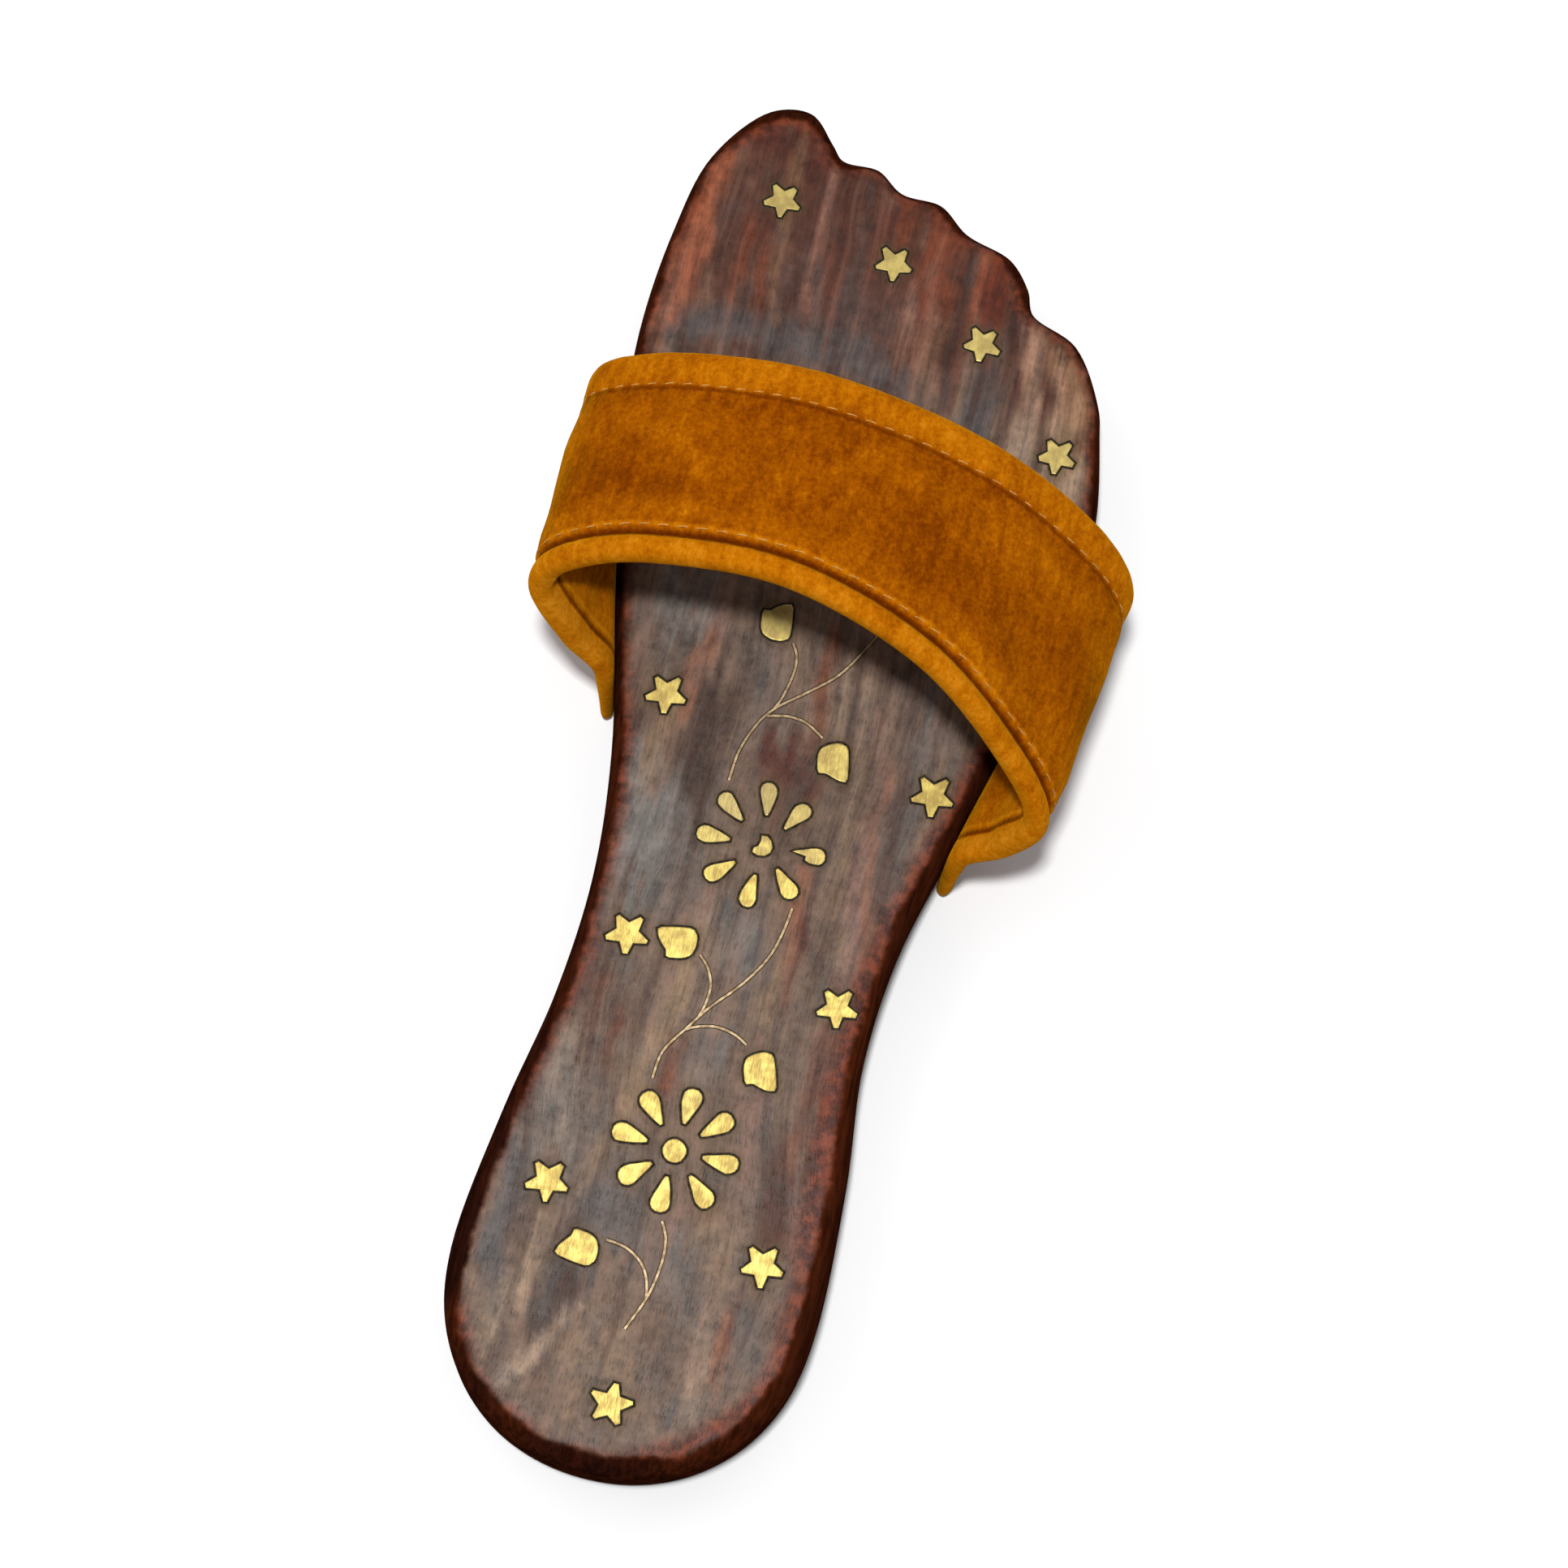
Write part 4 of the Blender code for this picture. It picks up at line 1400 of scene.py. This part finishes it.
# %% Figure of the toes
TOES_FIGURE = (
    # from x, along, to x, along, half width, fade of the ends, colour, strength
    (0, 240, 2, 180, 60, 16, PLUM, 0.9),
    (-8, 202, -8, 180, 9, 6, STEEL, 0.5),
    # painted shadow: a dark band across the footbed just in front of the strap
    (-36, 184.5, 12, 182, 3.5, 4, STEEL, 0.95),
    (-10, 219, -9, 208, 8, 3, DARK, 0.3),
    (5.5, 204, 5.5, 188, 2, 4, PINK, 0.4),
    (15.3, 198, 15, 186, 2.4, 3, TAN, 0.55),
    (23, 197, 24, 186, 3, 3, PINK, 0.4),
    (-20, 230, -23, 221, 9, 4, WINE, 0.7),
    (-34, 219, -38, 178, 3.6, 5, SALMON, 1),
    (-38, 194, -38.5, 178, 2.6, 5, PINK, 0.7),
    (-30.3, 222, -31, 190, 1.2, 5, DARK, 0.8),
    (-25, 206, -26, 192, 1.4, 4, RUST, 0.6),
    (-19.5, 226, -19, 190, 1.3, 6, TAN, 0.5),
    (-22, 204, -21, 190, 1.2, 4, RUST, 0.5),
    (-12.4, 221, -12, 188, 0.9, 5, PINK, 0.9),
    (-9, 205, -7.5, 188, 1, 5, RUST, 0.4),
    (-1, 220, 0, 198, 1.4, 5, WINE, 0.6),
    (3, 216, 3, 206, 1, 3, RUST, 0.7),
    (9, 219, 13, 199, 5.5, 5, RUST, 0.75),
    (8.2, 201, 8.6, 182, 1, 4, PINK, 0.7),
    (12.5, 202, 12.5, 182, 1.6, 5, PINK, 0.45),
    (17.6, 214, 17.8, 180, 1, 5, DARK, 0.8),
    (20, 212, 20.2, 198, 0.8, 4, SALMON, 0.9),
    (24, 213, 23, 195, 2.4, 4, EMBER, 0.8),
    (27.3, 212, 27.3, 190, 1.2, 5, DARK, 0.8),
    (21.8, 188, 21.8, 170, 0.9, 4, TAN, 0.8),
    (26, 190, 26.5, 166, 3, 5, STEEL, 0.8),
    (33.4, 200, 34, 162, 1.7, 5, PALE, 0.9),
    (36.6, 198, 37, 180, 1.1, 5, WINE, 0.6),
    (41.5, 198, 43, 162, 5, 5, TAN, 0.85),
    (38.8, 192, 39.4, 168, 0.9, 5, PALE, 0.7),
    (42.5, 190, 43, 178, 0.8, 4, PALE, 0.5),
    (45, 172, 45, 160, 3, 4, PALE, 0.6),
)

# %% Figure of the midfoot
MIDFOOT_FIGURE = (
    # from x, along, to x, along, half width, fade of the ends, colour, strength
    # painted light: a lighter patch on the footbed just behind the strap's shadow
    (-19.5, 135, -18.5, 117, 5, 5, ASH, 0.7),
    (-18, 127.5, -18.4, 116, 1.6, 3, DARK, 0.45),
    # painted light: these four rows lighten the footbed just behind the strap's shadow
    (-14, 123.5, -14, 113, 2.2, 3, PALE, 0.3),
    (-1.5, 125, 0, 117, 3.6, 4, PALE, 0.25),
    (8.5, 125, 9.5, 110, 4.5, 5, PALE, 0.42),
    (22, 120, 22.6, 112, 2.2, 3, PALE, 0.3),
    (-24.5, 114, -22.5, 92, 2.4, 7, PLUM, 0.75),
    (-13.4, 137, -14, 120, 1.7, 4, PINK, 0.7),
    (-13.8, 123, -17, 105, 2, 4, SALMON, 0.75),
    (-17, 107, -21, 84, 2, 6, TAN, 0.8),
    (-11, 114, -11, 92, 2.8, 5, DARK, 0.75),
    (-6, 125, -3, 110, 4, 6, SLATE, 0.5),
    (2, 109, 3.5, 94, 5.5, 5, WINE, 0.85),
    (8.4, 131, 9, 108, 1.8, 4, RUST, 0.8),
    (13, 127, 13.6, 110, 0.9, 5, PALE, 0.6),
    (15.2, 127, 16, 96, 0.9, 5, DARK, 0.6),
    (17.6, 125, 18.6, 100, 0.9, 5, PALE, 0.5),
    (20, 122, 20.6, 98, 0.9, 5, DARK, 0.5),
    (22.6, 116, 25.6, 56, 1.8, 6, PINK, 0.9),
    (18.5, 100, 21, 74, 2, 6, TAN, 0.7),
    (24.4, 108, 26.4, 72, 0.8, 6, SALMON, 0.6),
    (31, 122, 31.5, 84, 4, 8, SLATE, 0.7),
    (28, 112, 29, 68, 1.3, 6, PLUM, 0.6),
    (33.5, 112, 33, 88, 0.8, 5, TAN, 0.7),
    (4.2, 99, 4.6, 87, 3.4, 3, DARK, 0.45),
)

# %% Figure of the waist
WAIST_FIGURE = (
    # from x, along, to x, along, half width, fade of the ends, colour, strength
    (-1.8, 86, -2.2, 46, 2.6, 6, PALE, 0.38),
    (-13, 92, -18, 68, 8, 6, SLATE, 0.9),
    (-16.5, 95, -19, 74, 4.5, 5, ASH, 0.7),
    (3, 77, 3, 60, 3.6, 4, SLATE, 0.9),
    (-2.5, 82, -3, 68, 1.6, 4, PINK, 0.6),
    (13, 84, 14.2, 62, 2.2, 4, SALMON, 0.7),
    (16.5, 72.5, 14.5, 68, 2.2, 2, WINE, 0.8),
    (12, 68, 12, 48, 1.5, 5, TAN, 0.9),
    (19, 74, 19, 50, 2.2, 7, BROWN, 0.6),
    (-22, 66, -21, 48, 3, 5, PLUM, 0.5),
    (-16, 57, -16, 40, 6, 5, PLUM, 0.5),
    (-18.2, 54, -18.2, 42, 1.2, 3, RUST, 0.7),
    (-13.6, 50, -13.6, 38, 1.2, 3, RUST, 0.6),
    (-20, 40, -21, 18, 7, 6, SLATE, 0.75),
    (-18.5, 46, -19.5, 24, 4, 6, PALE, 0.38),
    (23.5, 36, 24.5, 10, 3, 5, RUST, 0.4),
    (25, 58, 25, 43, 2.6, 4, EMBER, 0.5),
    (-3, 62, -12, 18, 1.6, 6, TAN, 0.75),
    (-2.8, 46, -3.4, 34, 1.6, 3, RUST, 0.8),
    (3.5, 51, 3, 40, 3, 4, SLATE, 0.8),
    (10, 47, 10, 36, 1.3, 3, PINK, 0.7),
    (14, 40, 14, 20, 2.6, 6, PINK, 0.7),
    (24, 62, 23.5, 24, 1.2, 8, WINE, 0.5),
    (28.6, 64, 29.4, 18, 2.2, 7, EMBER, 0.6),
    (21, 32, 23, 12, 3.2, 5, PLUM, 0.8),
)

# %% Figure of the heel
HEEL_FIGURE = (
    # from x, along, to x, along, half width, fade of the ends, colour, strength
    (-9.5, 17, -9, -3, 3.2, 4, STEEL, 0.55),
    (5.4, -9, 6, -18, 2.8, 3, DARK, 0.35),
    (-28, 20, -26, -4, 3, 5, STEEL, 0.8),
    (-8, 19, -2, 7, 4.5, 4, STEEL, 0.6),
    (4.2, 17, 5, 8, 1.6, 3, PINK, 0.8),
    (7, 10, 8, 0, 4, 4, SLATE, 0.7),
    (8, 0, 6, -14, 4.2, 4, BROWN, 0.4),
    (8, -1, 5.5, -13, 4, 4, DARK, 0.3),
    (9.5, 22, 10, 4, 2.6, 4, DARK, 0.3),
    (12, 16, 13, 3, 3.6, 4, TAN, 0.55),
    (-10, 4, -15.5, -14, 4.2, 4, UMBER, 0.95),
    (-4, -8, -5, -20, 7, 4, TAN, 0.45),
    (-8.8, -5, -20, -23.5, 1.5, 1.2, PALE, 0.85),
    (-10.5, -1, -11.5, -9.5, 2.4, 3, UMBER, 0.5),
    (-17.5, 4, -23.5, -15, 2.4, 4, TAN, 0.85),
    (-18.8, 2, -22.5, -13, 2.2, 4, PALE, 0.45),
    (-21.5, 13, -21.5, 2, 2.4, 3, UMBER, 0.45),
    (-24.5, 0, -24.5, -8, 2, 3, STEEL, 0.6),
    (19.6, 2, 17.8, -14, 1, 3, SALMON, 0.7),
    (14.8, -4, 14.6, -22, 1.8, 4, PALE, 0.5),
    (23, 4, 24, -10, 2.8, 4, STEEL, 0.45),
    (30, 12, 29.5, -6, 2, 4, RUST, 0.8),
)

# %% [markdown]
# A later stroke lies over an earlier one. Waves make every stroke wander and fray, as grain
# does. The wood is painted darker in a soft halo around each piece of brass.

# %% Paint the figure
FIGURE = TOES_FIGURE + MIDFOOT_FIGURE + WAIST_FIGURE + HEEL_FIGURE
WANDER = 1.6
FRAY = 0.3
LAC_REACH = 9.0
HALO_EDGE = (1.9, 0.3)
HALO_STRENGTH = 0.5


def smooth_span(value, low, high):
    """Runs smoothly from 0 at low to 1 at high."""
    share = np.clip((value - low) / (high - low), 0.0, 1.0)
    return share * share * (3.0 - 2.0 * share)


points = coordinates(sole)
drift = WANDER * cloth_waves(points[:, 1], points[:, 0], 10, 14.0, 60.0, 5)
ragged = cloth_waves(points[:, 0], points[:, 1] * 0.2, 24, 1.6, 7.0, 8)
paint = np.tile(BROWN, (len(points), 1))
for x1, y1, x2, y2, half, fade, colour, strength in FIGURE:
    run = np.array((x2 - x1, y2 - y1), dtype=float)
    length = np.hypot(*run)
    run /= length
    from_start = points[:, :2] - (x1, y1)
    ahead = from_start @ run + fade * ragged
    aside = from_start @ (-run[1], run[0]) + drift * min(1.0, half / 3.0) + FRAY * half * ragged
    share = strength * smooth_span(np.abs(aside), 1.5 * half, 0.4 * half)
    share *= smooth_span(ahead, -fade, fade) * smooth_span(ahead, length + fade, length - fade)
    paint += share[:, None] * (colour - paint)
# The wood is painted darker in a soft halo round each piece of brass.
dark_halo = np.zeros(len(points))
for _, loop in inlays:
    centre = np.mean([tuple(p) for p in loop], axis=0)
    near = np.abs(points[:, :2] - centre).max(axis=1) < LAC_REACH
    gap = distance_from_loop(points[near][:, :2], loop)
    dark_halo[near] = np.maximum(dark_halo[near], smooth_span(gap, *HALO_EDGE))
paint += HALO_STRENGTH * dark_halo[:, None] * (OLIVE - paint)
tint = sole.data.attributes.new("figure", "FLOAT_COLOR", "POINT")
tint.data.foreach_set("color", np.column_stack([paint, np.ones(len(paint))]).ravel())
print(len(FIGURE), "runs of figure on", len(points), "points")

# %% [markdown]
# The painted figure is made lighter and darker by the grain, and streaks of other tones run
# through it. Towards the heel the plank's figure is cloudy, and towards the toes straight.

# %% Grain of the rosewood
wood = Finish("rosewood_oiled", Roughness=0.45)
figure = wood.node("ShaderNodeAttribute", attribute_name="figure").outputs["Color"]
apart = wood.node("ShaderNodeSeparateXYZ")
wood.feed(apart.inputs[0], wood.place)
wood_x, wood_y, wood_z = apart.outputs
bow = wood.swing(wood.noise(wood.place, 0.018, detail=2.0), 12.0)
bowed = wood.vector(wood.plus(wood_x, bow), wood_y, wood_z)


def streaks(along, scale, detail, rough=0.5):
    """Noise drawn out along the plank: the smaller the first number, the longer."""
    return wood.noise(wood.stretched(bowed, (1.0, along, 1.0)), scale, detail, rough)


medium = streaks(0.035, 0.42, 4.0, 0.6)
fine = streaks(0.09, 1.2, 3.0, 0.55)
pores = streaks(0.14, 3.4, 1.0)
hue = streaks(0.25, 0.30, 4.0, 0.6)
mottle = wood.noise(wood.place, 0.16, detail=5.0, rough=0.62)
cloud = wood.noise(wood.place, 0.42, detail=4.0, rough=0.6)
straight = wood.span(wood_y, -10.0, 45.0, 0.45, 1.0)
grain = wood.plus(wood.swing(medium, 1.6), wood.swing(fine, 0.8))
clouds = wood.plus(wood.swing(mottle, 1.4), wood.swing(cloud, 1.2))
clouds = wood.times(clouds, wood.plus(wood.times(straight, -0.8), 1.8))
light = wood.plus(wood.times(grain, straight), clouds)
light = wood.worked_out("MAXIMUM", wood.plus(light, 1.02), 0.35)
base = wood.scaled(figure, light)
for noise, start, full, strength, colour in (
    # noise, where the tone starts, where it is full, its strength, the tone
    (medium, 0.54, 0.70, 0.30, PINK),
    (medium, 0.46, 0.32, 0.35, PLUM),
    (hue, 0.54, 0.70, 0.30, WINE),
    (hue, 0.46, 0.32, 0.35, STEEL),
    (pores, 0.62, 0.73, 0.30, DARK),
):
    base = wood.mixed(wood.span(noise, start, full, 0.0, strength), base, colour)

# %% [markdown]
# The stain and the painted shade lie over the grain. The rim and the wall are painted nearly
# black, stain together with painted shade of the rounded edge and the wall, and where the dark
# thins out it glows red. The toes are redder as a whole. The dark edge is dull, the rest has a
# worn oil polish, and the pores are small pits.

# %% Stain, painted edge shade and polish of the rosewood
# Colours of the dark edge: stain together with painted shade of the rounded edge and the wall.
STAIN_AND_SHADE = (0.0085, 0.0022, 0.0014)
RED_STAIN_AND_SHADE = (0.029, 0.0060, 0.0018)
GLOW = (0.066, 0.0130, 0.0045)
TOE_TINT = (1.0, 0.80, 0.72)
base = wood.mixed(wood.span(wood_y, 172.0, 188.0), base, wood.scaled(base, TOE_TINT))
rough_rim = wood.plus(wood.value("rim"), wood.swing(mottle, 3.0))
fringe = wood.value("fringe")
glow = wood.span(rough_rim, wood.plus(fringe, 2.3), wood.plus(fringe, -1.4))
glowing = wood.scaled(GLOW, wood.span(cloud, 0.36, 0.68, 0.60, 2.3))
base = wood.mixed(wood.times(glow, 0.92), base, glowing)
# Painted shade and stain: the rim and the wall are painted nearly black.
stain_and_shade = wood.value("stain_and_shade")
edge = wood.span(rough_rim, wood.plus(stain_and_shade, 0.6), wood.plus(stain_and_shade, -1.0))
wall_red = wood.span(medium, 0.4, 0.6)
redness = wood.mixed(wood.span(wood_z, 23.0, 12.0), wood.value("redness"), wall_red)
stained_and_shaded = wood.mixed(redness, STAIN_AND_SHADE, RED_STAIN_AND_SHADE)
stained_and_shaded = wood.scaled(stained_and_shaded, wood.span(fine, 0.32, 0.68, 0.60, 1.5))
base = wood.mixed(wood.times(edge, 0.97), base, stained_and_shaded)
bumps = wood.relief(mottle, 0.20)
bumps = wood.relief(medium, 0.10, bumps)
bumps = wood.relief(fine, 0.04, bumps)
bumps = wood.relief(wood.span(pores, 0.60, 0.68, 1.0, 0.0), 0.04, bumps)
polish = wood.plus(wood.span(mottle, 0.3, 0.7, 0.40, 0.54), wood.times(edge, 0.10))
wood.give(Base_Color=base, Roughness=polish, Normal=bumps,
          Specular_IOR_Level=wood.span(edge, 0.0, 0.8, 0.12, 0.0))
wood.dress([sole])
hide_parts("sole")
print("the rosewood has", len(wood.tree.nodes), "nodes")

# %% [markdown]
# ### Brass and lac
#
# Old brass is yellow with duller, browner patches, and the file leaves fine scratches on it.
# Each plate keeps one number for how much darker and greyer it is painted: painted shade
# where a plate's reflection is dimmer, as towards the toes and in the strap's shadow.
# The wire is browner, since lac stays on it. The lac is a brown resin, nearly black, and paler
# where it is smeared thin.

# %% Brass finish
# How much darker and greyer each plate is painted: painted shade for its dimmer reflection.
DARKENED_PLATES = {
    "bud_1": 0.35, "bud_2": 0.25, "star_06": 0.15, "upper_flower_petal_1": 0.4,
    "upper_flower_petal_2": 0.5, "upper_flower_petal_3": 0.7, "upper_flower_petal_4": 0.7,
    "upper_flower_petal_5": 0.35, "upper_flower_dot": 0.3, "lower_flower_petal_3": 0.25,
}
TOES_START = 165.0
TOES_DARKENED = 0.36
REST_DARKENED = 0.05
YELLOW_BRASS = (0.455, 0.362, 0.098)
BROWN_BRASS = (0.285, 0.205, 0.055)
GREY_BRASS = (0.245, 0.19, 0.088)
for piece in brass_pieces:
    place = coordinates(piece)
    by_place = TOES_DARKENED if place[0, 1] > TOES_START else REST_DARKENED
    darkened = DARKENED_PLATES.get(piece.name.removeprefix("brass_"), by_place)
    add_values(piece, "darkened", [darkened] * len(place))
brass = Finish("filed_brass", Metallic=0.85)
colour = brass.patchy(brass.noise(brass.place, 0.42), YELLOW_BRASS, BROWN_BRASS)
# painted shade: each plate is mixed towards a darker, greyer brass by its own number
colour = brass.mixed(brass.value("darkened"), colour, GREY_BRASS)
scratches = brass.noise(brass.stretched(brass.place, (1.0, 0.15, 1.0), 0.6), 4.0, detail=2.0)
hammered = brass.relief(brass.noise(brass.place, 0.5, detail=1.0), 0.015)
brass.give(Base_Color=colour, Roughness=brass.span(scratches, 0.3, 0.7, 0.50, 0.62),
           Normal=brass.relief(scratches, 0.004, hammered))
brass.dress(brass_pieces)
print(len(DARKENED_PLATES), "of", len(brass_pieces), "plates are dulled one by one")

# %% Wire finish
WIRE_LIGHT = (0.27, 0.20, 0.115)
WIRE_DARK = (0.19, 0.13, 0.07)
wire_brass = Finish("rubbed_wire", Metallic=0.85)
patches = wire_brass.noise(wire_brass.place, 0.8)
wire_brass.give(Base_Color=wire_brass.patchy(patches, WIRE_LIGHT, WIRE_DARK),
                Roughness=wire_brass.span(patches, 0.3, 0.7, 0.5, 0.62),
                Normal=wire_brass.relief(patches, 0.05))
wire_brass.dress(wire_pieces)
print(len(wire_pieces), "wires are dressed")

# %% Lac finish
LAC_LIGHT = (0.016, 0.010, 0.003)
LAC_DARK = (0.006, 0.004, 0.002)
LAC_SMEAR = (0.072, 0.045, 0.030)
resin = Finish("dark_lac", Specular_IOR_Level=0.08)
patches = resin.noise(resin.place, 0.9)
smear = resin.plus(resin.value("smear"), resin.swing(patches, 0.8))
colour = resin.patchy(patches, LAC_LIGHT, LAC_DARK)
colour = resin.mixed(resin.span(smear, -0.15, 0.55), LAC_SMEAR, colour)
resin.give(Base_Color=colour, Roughness=resin.span(patches, 0.3, 0.7, 0.5, 0.65),
           Normal=resin.relief(patches, 0.01))
resin.dress([lac])
print("the lac has", len(resin.tree.nodes), "nodes")

# %% [markdown]
# ### Velvet and thread
#
# Velvet shines where its pile is seen from the side and is deep where it faces the eye, and
# a hand brushed over it leaves lighter and darker marks. Bands along the strap are painted
# light and shade: painted highlights on the binding and the hem, painted shade in the groove
# and on the cloth behind the hem.

# %% Velvet finish
velvet = Finish("ochre_velvet_pile", Roughness=0.9, Specular_IOR_Level=0.0, Sheen_Weight=0.22,
                Sheen_Roughness=0.4, Sheen_Tint=(1.0, 0.52, 0.01, 1.0))
from_rear = velvet.value("from_rear")
from_front = velvet.value("from_front")
lined = velvet.value("lining")
pile_way = velvet.vector(velvet.value("along"), velvet.times(from_rear, 0.4), lined)
brushed = velvet.noise(velvet.place, 0.075, detail=4.0, rough=0.6, warp=0.6)
marks = velvet.noise(pile_way, 0.45, detail=4.0, rough=0.65)
nap = velvet.noise(velvet.place, 1.1, detail=5.0, rough=0.75)
# The lining is painted a little lighter than the face: painted light on the lit inside of the
# strap.
tone = velvet.plus(velvet.times(lined, 0.06), -0.05)
for noise, amount in ((brushed, 0.37), (marks, 0.42), (nap, 0.50)):
    tone = velvet.plus(tone, velvet.times(noise, amount))
# painted light and shade in bands along the strap: painted shade in the groove and on the cloth
# behind the hem, painted highlights at the rear stitched line and the field before it
for start, centre, half_width, lighter in (
    # edge it is measured from, middle of the band, half its width, how much lighter
    (from_front, 28.0, 13.0, -0.07),
    (from_rear, 9.5, 4.5, 0.06),
    (from_rear, 6.7, 0.9, 0.14),
    (from_front, 8.1, 0.8, -0.13),
    (from_front, 9.5, 5.0, -0.05),
    (from_rear, 5.1, 0.9, -0.30),
):
    tone = velvet.plus(tone, velvet.times(velvet.bump_at(start, centre, half_width), lighter))
# painted highlights on the hem and on the rolled binding
for start, outer, inner, lighter in ((from_front, 8.2, 6.4, 0.10), (from_rear, 5.0, 4.2, 0.16)):
    tone = velvet.plus(tone, velvet.span(start, outer, inner, 0.0, lighter))
colour = velvet.ramp(tone, (0.30, (0.080, 0.013, 0.0003)), (0.48, (0.150, 0.030, 0.0004)),
                     (0.62, (0.250, 0.062, 0.0006)), (0.76, (0.370, 0.112, 0.0015)),
                     (0.96, (0.520, 0.200, 0.010)))
velvet.give(Base_Color=colour, Normal=velvet.relief(marks, 0.25, velvet.relief(nap, 0.22)))
velvet.dress([strap])
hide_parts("strap")
print("the velvet has", len(velvet.tree.nodes), "nodes")

# %% [markdown]
# The thread is paler than the velvet and twisted, so it has small light and dark patches.

# %% Thread finish
THREAD_DARK = (0.32, 0.135, 0.024)
THREAD_LIGHT = (0.44, 0.205, 0.048)
thread = Finish("tan_thread", Roughness=0.75, Specular_IOR_Level=0.1)
twist = thread.noise(thread.place, 1.6)
thread.give(Base_Color=thread.patchy(twist, THREAD_DARK, THREAD_LIGHT),
            Normal=thread.relief(twist, 0.1))
thread.dress(threads)
print("the thread has", len(thread.tree.nodes), "nodes")

# %% [markdown]
# ## Hand over
#
# Every piece is smooth-shaded up to a sharp edge and rides with the sandal's one body. The
# size of the finished object is kept beside the size of its solids.

# %% Ride and finish
PLATE_ANGLE = 8.0
SOFT_ANGLE = 38.0
pieces = [sole, lac, strap, *brass_pieces, *wire_pieces, *threads]
for piece in pieces:
    pick(piece)
    sharp = PLATE_ANGLE if piece in brass_pieces else SOFT_ANGLE
    bpy.ops.object.shade_smooth_by_angle(angle=math.radians(sharp))
    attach(piece, "root")
new_low, new_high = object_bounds()
size = {"cad": [list(cad_low), list(cad_high)], "visual": [list(new_low), list(new_high)]}
print("solids", [round(v / MM, 1) for v in cad_high - cad_low],
      "finished", [round(v / MM, 1) for v in new_high - new_low])
